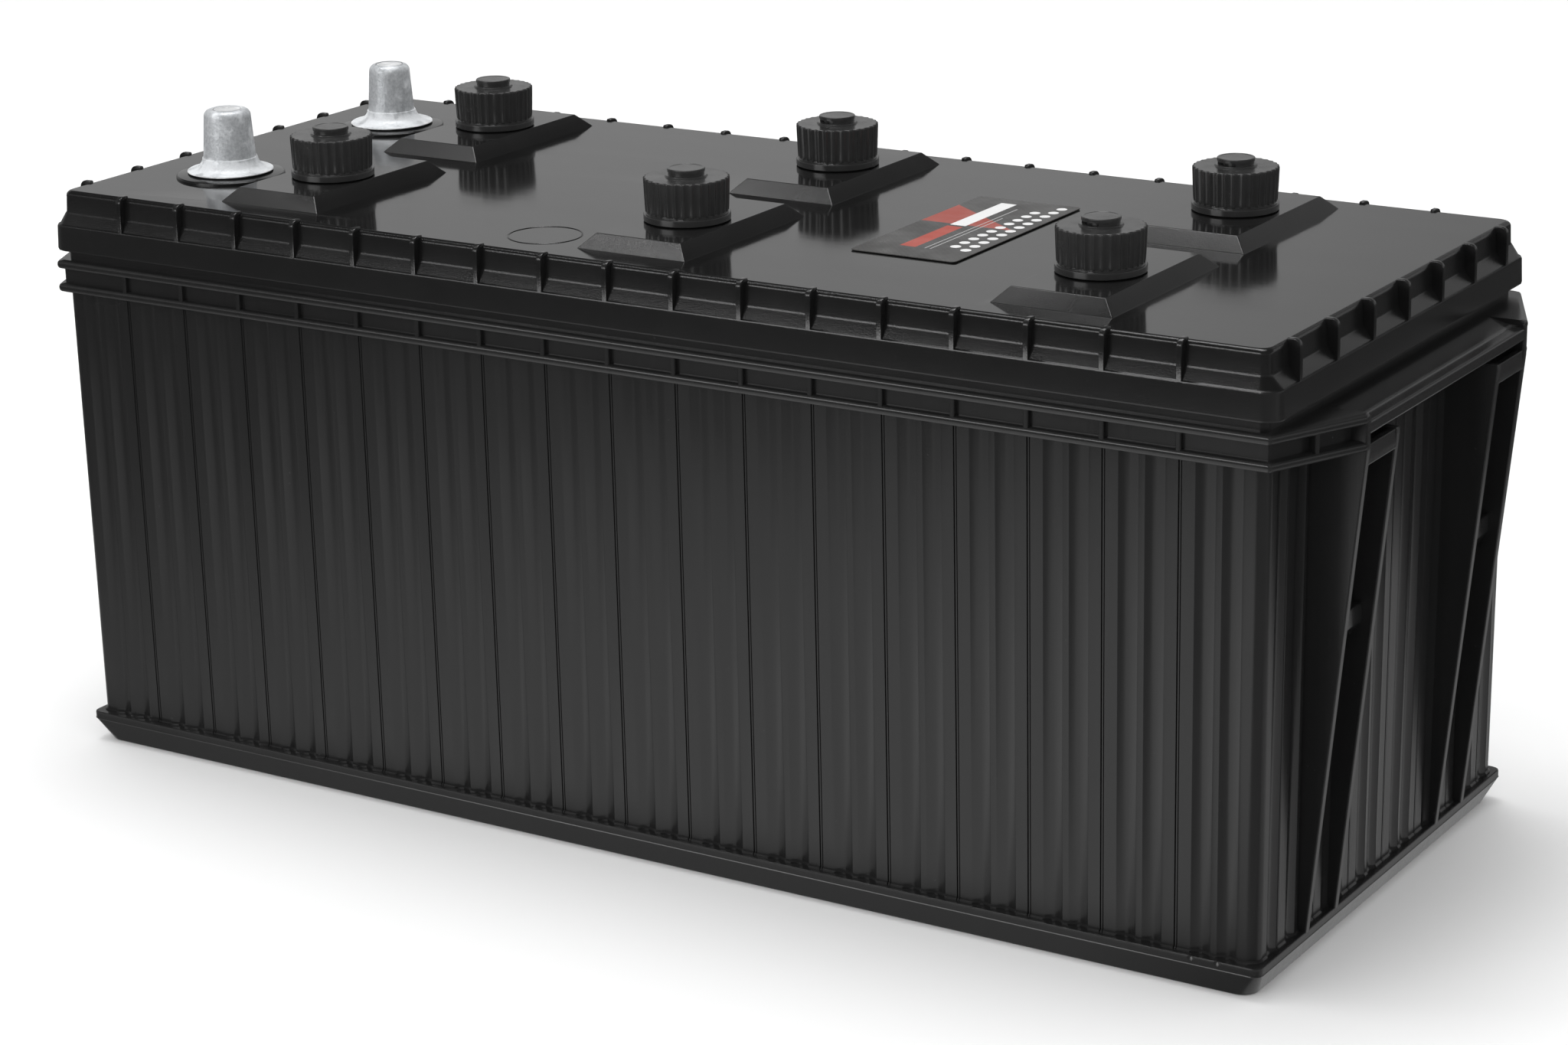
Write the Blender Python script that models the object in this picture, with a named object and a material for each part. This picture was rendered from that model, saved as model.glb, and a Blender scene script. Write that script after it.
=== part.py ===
"""A twelve-volt flooded lead-acid battery: a ribbed case and cover, six screw-out vent plugs, two tapered
lead terminals, and in each of the six cells two plate groups and their separators.

+X runs along the case, -Y is its front, +Z is up. The origin is the centre of the base, on the floor.
The cells are in series round a U: cells 1 to 3 run along the front row from the positive terminal,
cells 4 to 6 run back along the rear row to the negative terminal.
"""

from math import atan2, cos, hypot, pi, sin

import bmesh
import bpy

MM = 0.001
GAP = 0.3 * MM

# Case, half sizes in plan
BASE_FOOT = (243.0 * MM, 100.0 * MM)
BASE_RIM = (246.8 * MM, 102.9 * MM)
WALL_FOOT = (244.3 * MM, 99.3 * MM)
WALL_TOP = (245.0 * MM, 100.3 * MM)
NECK = (244.5 * MM, 99.6 * MM)
NECK_LIP = (241.0 * MM, 95.9 * MM)
CELL_SPACE = (238.5 * MM, 93.4 * MM)
FLANGE = (247.0 * MM, 102.8 * MM)
FLANGE_CORE = (245.2 * MM, 100.5 * MM)

# Case, heights
RIM_LOW = 6.0 * MM
RIM_HIGH = 11.6 * MM
WALL_LOW = 13.8 * MM
FLOOR = 3.2 * MM
FLANGE_LOW = 177.7 * MM
FLANGE_HIGH = 190.1 * MM
FLANGE_RIB = 3.6 * MM
SHOULDER = (203.0 * MM, 205.0 * MM)
CASE_TOP = 212.4 * MM

# Wall pattern, shared by the ribs of the cover and the webs of the flange
LONG_PITCH = 26.91 * MM
LONG_COUNT = 17
END_PITCH = 28.12 * MM
END_COUNT = 7
GROOVE = (1.4 * MM, 1.1 * MM)
CORNER = 3.0 * MM
BASE_CORNER = 6.0 * MM
SKIRT_CORNER = 6.0 * MM
CORNER_STEPS = 3

# End ribs, ears and lifting ledges
END_REACH = 263.5 * MM
END_RIB_FOOT = 246.7 * MM
END_RIB_ROOT = 242.0 * MM
OUTER_RIB = (64.1 * MM, 67.2 * MM)
INNER_RIB = (41.0 * MM, 44.1 * MM)
INNER_RIB_TOP = 180.0 * MM
TIE = (173.0 * MM, 180.0 * MM)
BRACE = (98.0 * MM, 120.0 * MM)
BRACE_FACE = 6.5 * MM
BRACE_REACH = 253.3 * MM
PLATE_THICK = 2.5 * MM
LEDGE_FLAT = 3.0 * MM
LEDGE_DROP = 2.6 * MM
LEDGE_LIP = 3.5 * MM
EAR_POCKET = 5.0 * MM
WEB_THICK = 1.8 * MM

# Cover
SKIRT_LOW = 193.6 * MM
SKIRT_HIGH = 203.6 * MM
BAND_LOW = 207.8 * MM
BAND_HIGH = 214.3 * MM
COVER_TOP = 216.0 * MM
COVER_CEILING = CASE_TOP + GAP
SKIRT_FOOT = (249.0 * MM, 102.4 * MM)
SKIRT = (248.8 * MM, 102.8 * MM)
BAND_FOOT = (244.6 * MM, 99.6 * MM)
BAND = (244.6 * MM, 99.1 * MM)
PLATEAU = (242.9 * MM, 97.4 * MM)
SKIRT_INSIDE = (246.2 * MM, 100.1 * MM)
BAND_INSIDE = (241.5 * MM, 96.5 * MM)
COVER_RIB_THICK = 2.0 * MM
COVER_RIB_RISE = 0.7 * MM
COVER_RIB_DEPTH = 4.6 * MM
COVER_RIB_ROUND = (3.2 * MM, 3.8 * MM)
PAD = (22.2 * MM, 38.8 * MM)
PAD_COLUMNS = (-157.0 * MM, 0.6 * MM, 162.2 * MM)
PAD_ROW = 48.1 * MM
PAD_HEIGHT = 5.0 * MM
PAD_TOP = COVER_TOP + PAD_HEIGHT
VENT_COLUMNS = (-155.8 * MM, 0.2 * MM, 161.4 * MM)
VENT_ROW = 50.5 * MM
VENT_HOLE = 10.5 * MM
WELL_RADIUS = 13.2 * MM
WELL_LOW = 196.0 * MM

# Vent plugs, measured from the top of the pad: the gasket lies in a recess that the plug's flange covers
GASKET = (10.9 * MM, 13.4 * MM, 0.8 * MM)
GASKET_RECESS = (14.0 * MM, GASKET[2] + GAP)
PLUG_SEAT = GAP
PLUG_FLANGE = (15.25 * MM, 2.4 * MM)
GRIP_TOP = 15.4 * MM
GRIP_RADIUS = 14.8 * MM
GRIP_OVERHANG = 0.4 * MM
GRIP_FLUTES = 32
GRIP_FLUTE_DEPTH = 0.8 * MM
GRIP_DISC = 1.0 * MM
BUTTON = (6.8 * MM, 3.0 * MM)
STEM_RADIUS = 10.2 * MM
STEM_LENGTH = 14.0 * MM
STEM_HOLLOW = 7.5 * MM

# Terminals
TERMINAL_X = -205.6 * MM
TERMINAL_Y = 49.5 * MM
TERMINAL_TOP = 241.2 * MM
RING_RADIUS = 20.4 * MM
RING_TOP = COVER_TOP + 1.6 * MM
RING_CHAMFER = 0.6 * MM
TERMINAL_HOLE = 11.0 * MM
TERMINAL_SHANK = 10.6 * MM
TERMINAL_BORE = 5.3 * MM
SHANK_DEPTH = 6.0 * MM
FLARE_RADIUS = 16.1 * MM
FLARE_RIM = 0.6 * MM
FLARE_HEIGHT = 4.6 * MM
TERMINAL_CHAMFER = (1.0 * MM, 1.2 * MM)
POST_RADIUS = 5.0 * MM
POST_FOOT_HALF = 10.0 * MM
POST_FOOT_THICK = 5.0 * MM
POSITIVE_TAPER = (9.75 * MM, 8.75 * MM)
NEGATIVE_TAPER = (8.95 * MM, 7.95 * MM)

# Cells
PARTITION = 2.6 * MM
CELL_PITCH = (2 * CELL_SPACE[0] + PARTITION) / 3
CELL_HALF_LENGTH = (CELL_PITCH - PARTITION) / 2
CELL_ROW = (CELL_SPACE[1] + PARTITION / 2) / 2
CELL_HALF_WIDTH = CELL_SPACE[1] - CELL_ROW
PLATE_COUNT = 13
PLATE_PITCH = 6.8 * MM
PLATE = 4.0 * MM
PLATE_HALF_LENGTH = 74.0 * MM
PLATE_LOW = 6.2 * MM
PLATE_HIGH = 165.0 * MM
LUG_OFFSET = 58.0 * MM
LUG_HALF_LENGTH = 7.0 * MM
STRAP_HALF_LENGTH = 8.0 * MM
STRAP_HALF_WIDTH = PLATE_PITCH * (PLATE_COUNT - 1) / 2 + PLATE
STRAP = (170.0 * MM, 177.0 * MM)
TAB_HIGH = 196.0 * MM
TAB_HALF_WIDTH = 7.5 * MM
TAB_THICK = 5.0 * MM
LINK_HEIGHT = 187.0 * MM
LINK_RADIUS = 4.5 * MM
SEPARATOR = 1.2 * MM
SEPARATOR_HALF_LENGTH = 76.5 * MM
SEPARATOR_MAT = (FLOOR + GAP, FLOOR + 2.3 * MM)
SEPARATOR_HIGH = 168.0 * MM

# Label
LABEL_CENTRE = (84.0 * MM, -1.0 * MM)
LABEL_HALF = (20.5 * MM, 45.6 * MM)
LABEL_THICK = 0.3 * MM

ROUND_STEPS = 20
PLUG_STEPS = 16
RING_STEPS = 32
BUTTON_STEPS = 12
LINK_STEPS = 16


def clear_scene():
    for obj in list(bpy.data.objects):
        bpy.data.objects.remove(obj)


def material(name, colour, roughness, metallic=0.0):
    made = bpy.data.materials.new(name)
    made.use_nodes = True
    shader = made.node_tree.nodes["Principled BSDF"]
    shader.inputs["Base Color"].default_value = (*colour, 1.0)
    shader.inputs["Roughness"].default_value = roughness
    shader.inputs["Metallic"].default_value = metallic
    return made


def solid(name, vertices, faces):
    """An object from corner points and faces, with its faces turned outwards."""
    mesh = bpy.data.meshes.new(name)
    mesh.from_pydata(vertices, [], faces)
    shape = bmesh.new()
    shape.from_mesh(mesh)
    bmesh.ops.recalc_face_normals(shape, faces=shape.faces)
    shape.to_mesh(mesh)
    shape.free()
    made = bpy.data.objects.new(name, mesh)
    bpy.context.scene.collection.objects.link(made)
    return made


def loft(name, sections):
    """A closed solid through sections of equal point count, with flat ends."""
    count = len(sections[0])
    vertices = [point for section in sections for point in section]
    faces = [tuple(range(count)), tuple(range(len(vertices) - count, len(vertices)))]
    for start in range(0, len(vertices) - count, count):
        for index in range(count):
            after = (index + 1) % count
            faces.append((start + index, start + after, start + count + after, start + count + index))
    return solid(name, vertices, faces)


def level(outline, height):
    return [(x, y, height) for x, y in outline]


def prism(name, outline, low, high):
    return loft(name, [level(outline, low), level(outline, high)])


def rectangle(half_x, half_y):
    return [(-half_x, -half_y), (half_x, -half_y), (half_x, half_y), (-half_x, half_y)]


def block(name, low, high):
    outline = [(low[0], low[1]), (high[0], low[1]), (high[0], high[1]), (low[0], high[1])]
    return prism(name, outline, low[2], high[2])


def mirrored_block(name, low, high, side_x=1, side_y=1):
    """A block given for +X and +Y, placed on the named sides."""
    xs = sorted((side_x * low[0], side_x * high[0]))
    ys = sorted((side_y * low[1], side_y * high[1]))
    return block(name, (xs[0], ys[0], low[2]), (xs[1], ys[1], high[2]))


def rounded(half, radius=CORNER, steps=CORNER_STEPS):
    """A rectangle of half sizes (x, y) with rounded corners, anticlockwise from the front right corner."""
    outline = []
    for quarter, (side_x, side_y) in enumerate([(1, -1), (1, 1), (-1, 1), (-1, -1)]):
        centre = (side_x * (half[0] - radius), side_y * (half[1] - radius))
        for step in range(steps + 1):
            angle = (quarter - 1 + step / steps) * pi / 2
            outline.append((centre[0] + radius * cos(angle), centre[1] + radius * sin(angle)))
    return outline


def plate_along_y(name, profile, low, high):
    """A flat plate with an (x, z) outline, from y = low to y = high."""
    return loft(name, [[(x, y, z) for x, z in profile] for y in (low, high)])


def plate_along_x(name, profile, low, high):
    return loft(name, [[(x, y, z) for y, z in profile] for x in (low, high)])


def bar(name, start, end, thick, low, high):
    """An upright plate that runs from start to end in plan."""
    length = hypot(end[0] - start[0], end[1] - start[1])
    across = (-(end[1] - start[1]) / length * thick / 2, (end[0] - start[0]) / length * thick / 2)
    outline = [
        (start[0] + across[0], start[1] + across[1]),
        (start[0] - across[0], start[1] - across[1]),
        (end[0] - across[0], end[1] - across[1]),
        (end[0] + across[0], end[1] + across[1]),
    ]
    return prism(name, outline, low, high)


def turned(name, profile, steps=ROUND_STEPS):
    """A solid turned about Z from a closed (radius, height) profile. A point at radius 0 is on the axis."""
    vertices = []
    rings = []
    for radius, height in profile:
        points = steps if radius else 1
        rings.append([len(vertices) + index for index in range(points)])
        for index in range(points):
            angle = 2 * pi * (index + 0.5) / steps
            vertices.append((radius * cos(angle), radius * sin(angle), height))
    faces = []
    for ring, following in zip(rings, rings[1:] + rings[:1]):
        if len(ring) == len(following) == 1:
            continue
        for index in range(steps):
            after = (index + 1) % steps
            corners = [ring[index % len(ring)], ring[after % len(ring)]]
            corners += [following[after % len(following)], following[index % len(following)]]
            faces.append(tuple(dict.fromkeys(corners)))
    return solid(name, vertices, faces)


def turned_about(name, profile, start, end, steps):
    """A turned solid whose axis runs level from start towards end."""
    made = turned(name, profile, steps)
    made.rotation_euler = (0, pi / 2, atan2(end[1] - start[1], end[0] - start[0]))
    made.location = start
    return made


def column(name, radius, low, high, steps=ROUND_STEPS):
    return turned(name, [(0, low), (radius, low), (radius, high), (0, high)], steps)


def combine(target, tools, operation):
    """Applies one Boolean per tool to the target and removes the tools."""
    for tool in tools:
        step = target.modifiers.new(tool.name, "BOOLEAN")
        step.operation = operation
        step.solver = "EXACT"
        step.object = tool
    bpy.context.view_layer.update()
    graph = bpy.context.evaluated_depsgraph_get()
    mesh = bpy.data.meshes.new_from_object(target.evaluated_get(graph))
    target.modifiers.clear()
    target.data = mesh
    for tool in tools:
        bpy.data.objects.remove(tool)
    return target


def unite(target, tools):
    return combine(target, tools, "UNION")


def cut(target, tools):
    return combine(target, tools, "DIFFERENCE")


def place(source, name, location, surface, turn=0.0):
    """A named copy of a finished shape, which shares its mesh."""
    made = bpy.data.objects.new(name, source.data)
    made.location = location
    made.rotation_euler = (0, 0, turn)
    bpy.context.scene.collection.objects.link(made)
    finish(made, surface)
    return made


def finish(obj, surface):
    obj.data.materials.clear()
    obj.data.materials.append(surface)
    obj.data.shade_smooth()
    obj.data.set_sharp_from_angle(angle=pi / 6)


def pattern(pitch, count):
    """The places of a row of features, centred on the middle of the wall."""
    return [(index - (count - 1) / 2) * pitch for index in range(count)]


def wall_points(pitch, count):
    """(along, inset) points of one wall: an upright V groove at each of the pattern's places."""
    points = []
    for groove in pattern(pitch, count):
        points += [(groove - GROOVE[0] / 2, 0), (groove, GROOVE[1]), (groove + GROOVE[0] / 2, 0)]
    return points


def grooved(half):
    """The outline of the walls, with the same point count for every half size."""
    long_wall = wall_points(LONG_PITCH, LONG_COUNT)
    end_wall = wall_points(END_PITCH, END_COUNT)
    corners = rounded(half)
    quarter = CORNER_STEPS + 1
    outline = [(along, inset - half[1]) for along, inset in long_wall]
    outline += corners[:quarter]
    outline += [(half[0] - inset, along) for along, inset in end_wall]
    outline += corners[quarter : 2 * quarter]
    outline += [(-along, half[1] - inset) for along, inset in long_wall]
    outline += corners[2 * quarter : 3 * quarter]
    outline += [(inset - half[0], -along) for along, inset in end_wall]
    outline += corners[3 * quarter :]
    return outline


def eared(half, reach, ear):
    """The flange in plan: its corners slant out at each end to an ear beside the outer end rib."""
    quarter = [(half[0], OUTER_RIB[0]), (reach, OUTER_RIB[0]), (reach, ear), (half[0], half[1])]
    outline = []
    for side_x, side_y in [(1, 1), (-1, 1), (-1, -1), (1, -1)]:
        corner = [(side_x * x, side_y * y) for x, y in quarter]
        outline += corner if side_x * side_y > 0 else corner[::-1]
    return outline


def flange_rib(name, low):
    """One of the two ribs round the case, with a blunt nose."""
    nose = FLANGE_RIB / 3
    blunt = eared((FLANGE[0] - nose, FLANGE[1] - nose), END_REACH - nose, OUTER_RIB[1] - nose)
    full = eared(FLANGE, END_REACH, OUTER_RIB[1])
    heights = [low, low + nose, low + 2 * nose, low + FLANGE_RIB]
    return loft(name, [level(o, z) for o, z in zip([blunt, full, full, blunt], heights)])


def flange_webs():
    """The upright webs between the two flange ribs: one at each groove, and one in each slanting ear."""
    low = FLANGE_LOW + FLANGE_RIB / 2
    high = FLANGE_HIGH - FLANGE_RIB / 2
    webs = []
    for side in (-1, 1):
        for x in pattern(LONG_PITCH, LONG_COUNT):
            start = (x, side * (NECK[1] - MM))
            end = (x, side * (FLANGE[1] - MM / 2))
            webs.append(bar("web", start, end, WEB_THICK, low, high))
    for side_x in (-1, 1):
        for side_y in (-1, 1):
            nose = ((FLANGE[0] + END_REACH) / 2, (FLANGE[1] + OUTER_RIB[1]) / 2)
            start = (side_x * (nose[0] - 2 * EAR_POCKET), side_y * (nose[1] - EAR_POCKET))
            end = (side_x * (nose[0] - MM / 2), side_y * (nose[1] - MM / 4))
            webs.append(bar("web", start, end, WEB_THICK, low, high))
    return webs


def end_rib_profile(top):
    """A rib on the end wall, in (x, z): it tapers from the flange down to the base rim."""
    foot = RIM_HIGH - MM
    return [
        (END_RIB_ROOT, foot),
        (END_RIB_FOOT, foot),
        (END_REACH, FLANGE_LOW),
        (END_REACH, top),
        (END_RIB_ROOT, top),
    ]


def ledge_profile():
    """The lifting ledge, in (x, z): it slopes out from the neck to a turned-down lip."""
    edge = FLANGE_HIGH - LEDGE_DROP
    return [
        (END_RIB_ROOT, FLANGE_HIGH),
        (FLANGE[0] + LEDGE_FLAT, FLANGE_HIGH),
        (END_REACH, edge),
        (END_REACH, edge - LEDGE_LIP),
        (END_REACH - PLATE_THICK, edge - LEDGE_LIP),
        (END_REACH - PLATE_THICK, edge - PLATE_THICK + MM),
        (FLANGE[0], FLANGE_HIGH - PLATE_THICK),
        (END_RIB_ROOT, FLANGE_HIGH - PLATE_THICK),
    ]


def brace_profile():
    """The gusset between two end ribs, in (x, z): a short upright face over a slope back to the wall."""
    return [
        (END_RIB_ROOT, BRACE[0]),
        (BRACE_REACH, BRACE[1] - BRACE_FACE),
        (BRACE_REACH, BRACE[1]),
        (END_RIB_ROOT, BRACE[1]),
    ]


def end_structure(side):
    """The four tapering ribs, their ties and braces, and the lifting ledge of one end."""

    def facing(profile):
        return [(side * x, z) for x, z in profile]

    pieces = []
    for side_y in (-1, 1):
        outer = sorted(side_y * y for y in OUTER_RIB)
        inner = sorted(side_y * y for y in INNER_RIB)
        outer_profile = facing(end_rib_profile(FLANGE_HIGH - MM))
        pieces.append(plate_along_y("rib", outer_profile, *outer))
        pieces.append(plate_along_y("rib", facing(end_rib_profile(INNER_RIB_TOP)), *inner))
        tie_low = (END_REACH - PLATE_THICK, INNER_RIB[1] - MM, TIE[0])
        tie_high = (END_REACH - MM / 2, OUTER_RIB[0] + MM, TIE[1] - MM / 4)
        pieces.append(mirrored_block("tie", tie_low, tie_high, side, side_y))
        between = sorted((side_y * (INNER_RIB[1] - MM), side_y * (OUTER_RIB[0] + MM)))
        pieces.append(plate_along_y("brace", facing(brace_profile()), *between))
    reach = OUTER_RIB[0] + MM
    pieces.append(plate_along_y("ledge", facing(ledge_profile()), -reach, reach))
    return pieces


def cell_step(cell):
    """How many cells cell 1 to 6 lies right of the middle, and its row: -1 at the front, 1 at the rear."""
    return (cell - 2, -1) if cell <= 3 else (5 - cell, 1)


def cell_centre(cell):
    step, row = cell_step(cell)
    return step * CELL_PITCH, row * CELL_ROW


def link_ends(link):
    """Where the connector from cell link to cell link + 1 starts and ends, in plan."""
    x, y = cell_centre(link)
    onward = cell_centre(link + 1)
    if onward[0] == x:
        reach = y + STRAP_HALF_WIDTH + GAP
        return (x + LUG_OFFSET, reach), (x + LUG_OFFSET, -reach)
    side = 1 if onward[0] > x else -1
    reach = LUG_OFFSET + STRAP_HALF_LENGTH + GAP
    return (x + side * reach, y), (onward[0] - side * reach, y)


def make_case(surface):
    """The moulded container: base, ribbed walls, flange and ends, with six open cells."""
    foot = rounded(BASE_FOOT, BASE_CORNER)
    rim = rounded(BASE_RIM, BASE_CORNER)
    shelf = rounded((WALL_FOOT[0] + MM / 2, WALL_FOOT[1] + MM / 2))
    base_sections = [level(foot, 0), level(rim, RIM_LOW), level(rim, RIM_HIGH), level(shelf, WALL_LOW)]
    case = loft("case", base_sections)
    wall_sections = [level(grooved(WALL_FOOT), RIM_LOW), level(grooved(WALL_TOP), FLANGE_LOW + MM)]
    walls = loft("walls", wall_sections)
    ear_core = eared(FLANGE_CORE, END_REACH - EAR_POCKET, OUTER_RIB[1] - EAR_POCKET / 4)
    flange = prism("core", ear_core, FLANGE_LOW + FLANGE_RIB / 2, FLANGE_HIGH - FLANGE_RIB / 2)
    ribs = [flange_rib("lower", FLANGE_LOW), flange_rib("upper", FLANGE_HIGH - FLANGE_RIB)]
    unite(flange, ribs + flange_webs())
    neck_sections = [level(rounded(NECK), FLANGE_LOW + 2 * MM), level(rounded(NECK), SHOULDER[0])]
    neck_sections += [level(rounded(NECK_LIP), SHOULDER[1]), level(rounded(NECK_LIP), CASE_TOP)]
    neck = loft("neck", neck_sections)
    unite(case, [walls, flange, neck] + end_structure(-1) + end_structure(1))
    cutters = []
    for cell in range(1, 7):
        x, y = cell_centre(cell)
        low = (x - CELL_HALF_LENGTH, y - CELL_HALF_WIDTH, FLOOR)
        high = (x + CELL_HALF_LENGTH, y + CELL_HALF_WIDTH, CASE_TOP + MM)
        cutters.append(block("cell", low, high))
    for link in range(1, 6):
        start, end = link_ends(link)
        length = hypot(end[0] - start[0], end[1] - start[1])
        cutters.append(link_rod("hole", start, end, LINK_RADIUS + GAP, length))
    cut(case, cutters)
    finish(case, surface)


def link_rod(name, start, end, radius, length):
    profile = [(0, 0), (radius, 0), (radius, length), (0, length)]
    return turned_about(name, profile, (*start, LINK_HEIGHT), (*end, LINK_HEIGHT), LINK_STEPS)


def cover_rib_profile(half):
    """A rib of the cover's edge, as (outward, z), with a rounded outer top."""
    top = COVER_TOP + COVER_RIB_RISE
    reach = half - MM / 10
    round_out, round_down = COVER_RIB_ROUND
    return [
        (half - COVER_RIB_DEPTH, SKIRT_HIGH - MM),
        (reach, SKIRT_HIGH - MM),
        (reach, top - round_down),
        (reach - round_out / 3, top - round_down / 2.4),
        (reach - round_out, top),
        (half - COVER_RIB_DEPTH, top),
    ]


def cover_ribs():
    half_thick = COVER_RIB_THICK / 2
    ribs = []
    for side in (-1, 1):
        long_profile = [(side * y, z) for y, z in cover_rib_profile(SKIRT[1])]
        for x in pattern(LONG_PITCH, LONG_COUNT):
            ribs.append(plate_along_x("rib", long_profile, x - half_thick, x + half_thick))
        end_profile = [(side * x, z) for x, z in cover_rib_profile(SKIRT[0])]
        for y in pattern(END_PITCH, END_COUNT):
            ribs.append(plate_along_y("rib", end_profile, y - half_thick, y + half_thick))
    return ribs


def cover_places(columns, row_offset):
    """One place for each cell, in the order of the cells, from the three columns and the offset of a row."""
    steps = [cell_step(cell) for cell in range(1, 7)]
    return [(columns[step + 1], row * row_offset) for step, row in steps]


def vent_places():
    return cover_places(VENT_COLUMNS, VENT_ROW)


def vent_hole_profile():
    """The hole down through a pad and its well, with the gasket's recess round its mouth."""
    recess_radius, recess_depth = GASKET_RECESS
    return [
        (0, WELL_LOW - MM),
        (VENT_HOLE, WELL_LOW - MM),
        (VENT_HOLE, PAD_TOP - recess_depth),
        (recess_radius, PAD_TOP - recess_depth),
        (recess_radius, PAD_TOP + MM),
        (0, PAD_TOP + MM),
    ]


def moved(obj, x, y):
    obj.location = (x, y, 0)
    return obj


def make_cover(surface):
    """The cover: skirt, ribbed band, raised vent pads with their wells, and a ring at each terminal."""
    skirt = [(SKIRT_FOOT, SKIRT_LOW), (SKIRT, SKIRT_HIGH)]
    band = [(BAND_FOOT, BAND_LOW), (BAND, BAND_HIGH), (PLATEAU, COVER_TOP)]
    sections = [level(rounded(half, SKIRT_CORNER), height) for half, height in skirt]
    sections += [level(rounded(half), height) for half, height in band]
    cover = loft("cover", sections)
    inside_sections = [level(rounded(SKIRT_INSIDE), SKIRT_LOW - MM)]
    inside_sections.append(level(rounded(SKIRT_INSIDE), SHOULDER[0] + MM))
    inside_sections.append(level(rounded(BAND_INSIDE), SHOULDER[1] + MM))
    inside_sections.append(level(rounded(BAND_INSIDE), COVER_CEILING))
    inside = loft("inside", inside_sections)
    pieces = cover_ribs()
    wells = []
    cutters = []
    pad_foot = rectangle(*PAD)
    pad_top = rectangle(PAD[0] - PAD_HEIGHT, PAD[1] - PAD_HEIGHT)
    for x, y in cover_places(PAD_COLUMNS, PAD_ROW):
        pad = [level(pad_foot, COVER_TOP - MM), level(pad_foot, COVER_TOP), level(pad_top, PAD_TOP)]
        pieces.append(moved(loft("pad", pad), x, y))
    for x, y in vent_places():
        wells.append(moved(column("well", WELL_RADIUS, WELL_LOW, COVER_TOP - MM), x, y))
        cutters.append(moved(turned("hole", vent_hole_profile()), x, y))
    ring = [
        (0, COVER_TOP - MM),
        (RING_RADIUS, COVER_TOP - MM),
        (RING_RADIUS, RING_TOP - RING_CHAMFER),
        (RING_RADIUS - RING_CHAMFER, RING_TOP),
        (0, RING_TOP),
    ]
    hole = ("hole", TERMINAL_HOLE, COVER_CEILING - MM, RING_TOP + MM)
    for side in (-1, 1):
        pieces.append(moved(turned("ring", ring, RING_STEPS), TERMINAL_X, side * TERMINAL_Y))
        cutters.append(moved(column(*hole), TERMINAL_X, side * TERMINAL_Y))
    unite(cover, pieces)
    cut(cover, [inside])
    unite(cover, wells)
    cut(cover, cutters)
    finish(cover, surface)


def make_terminal(name, side, taper, surface):
    """A lead terminal: a shank through the cover, a flared foot on the ring, and a tapered post."""
    seat = RING_TOP + GAP
    flare_top = seat + FLARE_HEIGHT
    foot, top = taper
    profile = [
        (TERMINAL_BORE, COVER_CEILING - SHANK_DEPTH),
        (TERMINAL_SHANK, COVER_CEILING - SHANK_DEPTH),
        (TERMINAL_SHANK, seat),
        (FLARE_RADIUS, seat),
        (FLARE_RADIUS, seat + FLARE_RIM),
        (foot + 0.45 * (FLARE_RADIUS - foot), seat + 0.45 * FLARE_HEIGHT),
        (foot + 0.12 * (FLARE_RADIUS - foot), seat + 0.80 * FLARE_HEIGHT),
        (foot, flare_top),
        (top, TERMINAL_TOP - TERMINAL_CHAMFER[1]),
        (top - TERMINAL_CHAMFER[0], TERMINAL_TOP),
        (TERMINAL_BORE, TERMINAL_TOP),
    ]
    terminal = turned(name, profile)
    terminal.location = (TERMINAL_X, side * TERMINAL_Y, 0)
    finish(terminal, surface)


def make_post(name, side, surface):
    """The riser from an end cell's strap up through its terminal, on a foot that lies on the strap."""
    foot_low = STRAP[1] + GAP
    foot_high = foot_low + POST_FOOT_THICK
    post = column(name, POST_RADIUS, foot_high - MM, TERMINAL_TOP - GAP)
    strap_middle = abs(TERMINAL_X) - CELL_PITCH - LUG_OFFSET
    inward = (strap_middle - STRAP_HALF_LENGTH, -POST_FOOT_HALF, foot_low)
    foot = block("foot", inward, (POST_FOOT_HALF, POST_FOOT_HALF, foot_high))
    unite(post, [foot])
    post.location = (TERMINAL_X, side * TERMINAL_Y, 0)
    finish(post, surface)


def make_plug(name):
    """A vent plug about its own axis, with height 0 at the top of the pad."""
    flange_top = PLUG_SEAT + PLUG_FLANGE[1]
    disc_low = GRIP_TOP - GRIP_DISC
    stem = [(0, -STEM_LENGTH), (STEM_RADIUS, -STEM_LENGTH), (STEM_RADIUS, PLUG_SEAT)]
    flange = [(PLUG_FLANGE[0], PLUG_SEAT), (PLUG_FLANGE[0], flange_top), (0, flange_top)]
    plug = turned(name, stem + flange, PLUG_STEPS)
    outline = []
    for index in range(2 * GRIP_FLUTES):
        radius = GRIP_RADIUS - GRIP_OVERHANG - (index % 2) * GRIP_FLUTE_DEPTH
        angle = pi * index / GRIP_FLUTES
        outline.append((radius * cos(angle), radius * sin(angle)))
    grip = prism("grip", outline, flange_top - MM / 2, disc_low + MM / 2)
    disc = column("disc", GRIP_RADIUS, disc_low, GRIP_TOP, PLUG_STEPS)
    button = column("button", BUTTON[0], GRIP_TOP - MM / 2, GRIP_TOP + BUTTON[1], BUTTON_STEPS)
    unite(plug, [grip, disc, button])
    return cut(plug, [column("hollow", STEM_HOLLOW, -STEM_LENGTH - MM, disc_low - MM, BUTTON_STEPS)])


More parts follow.
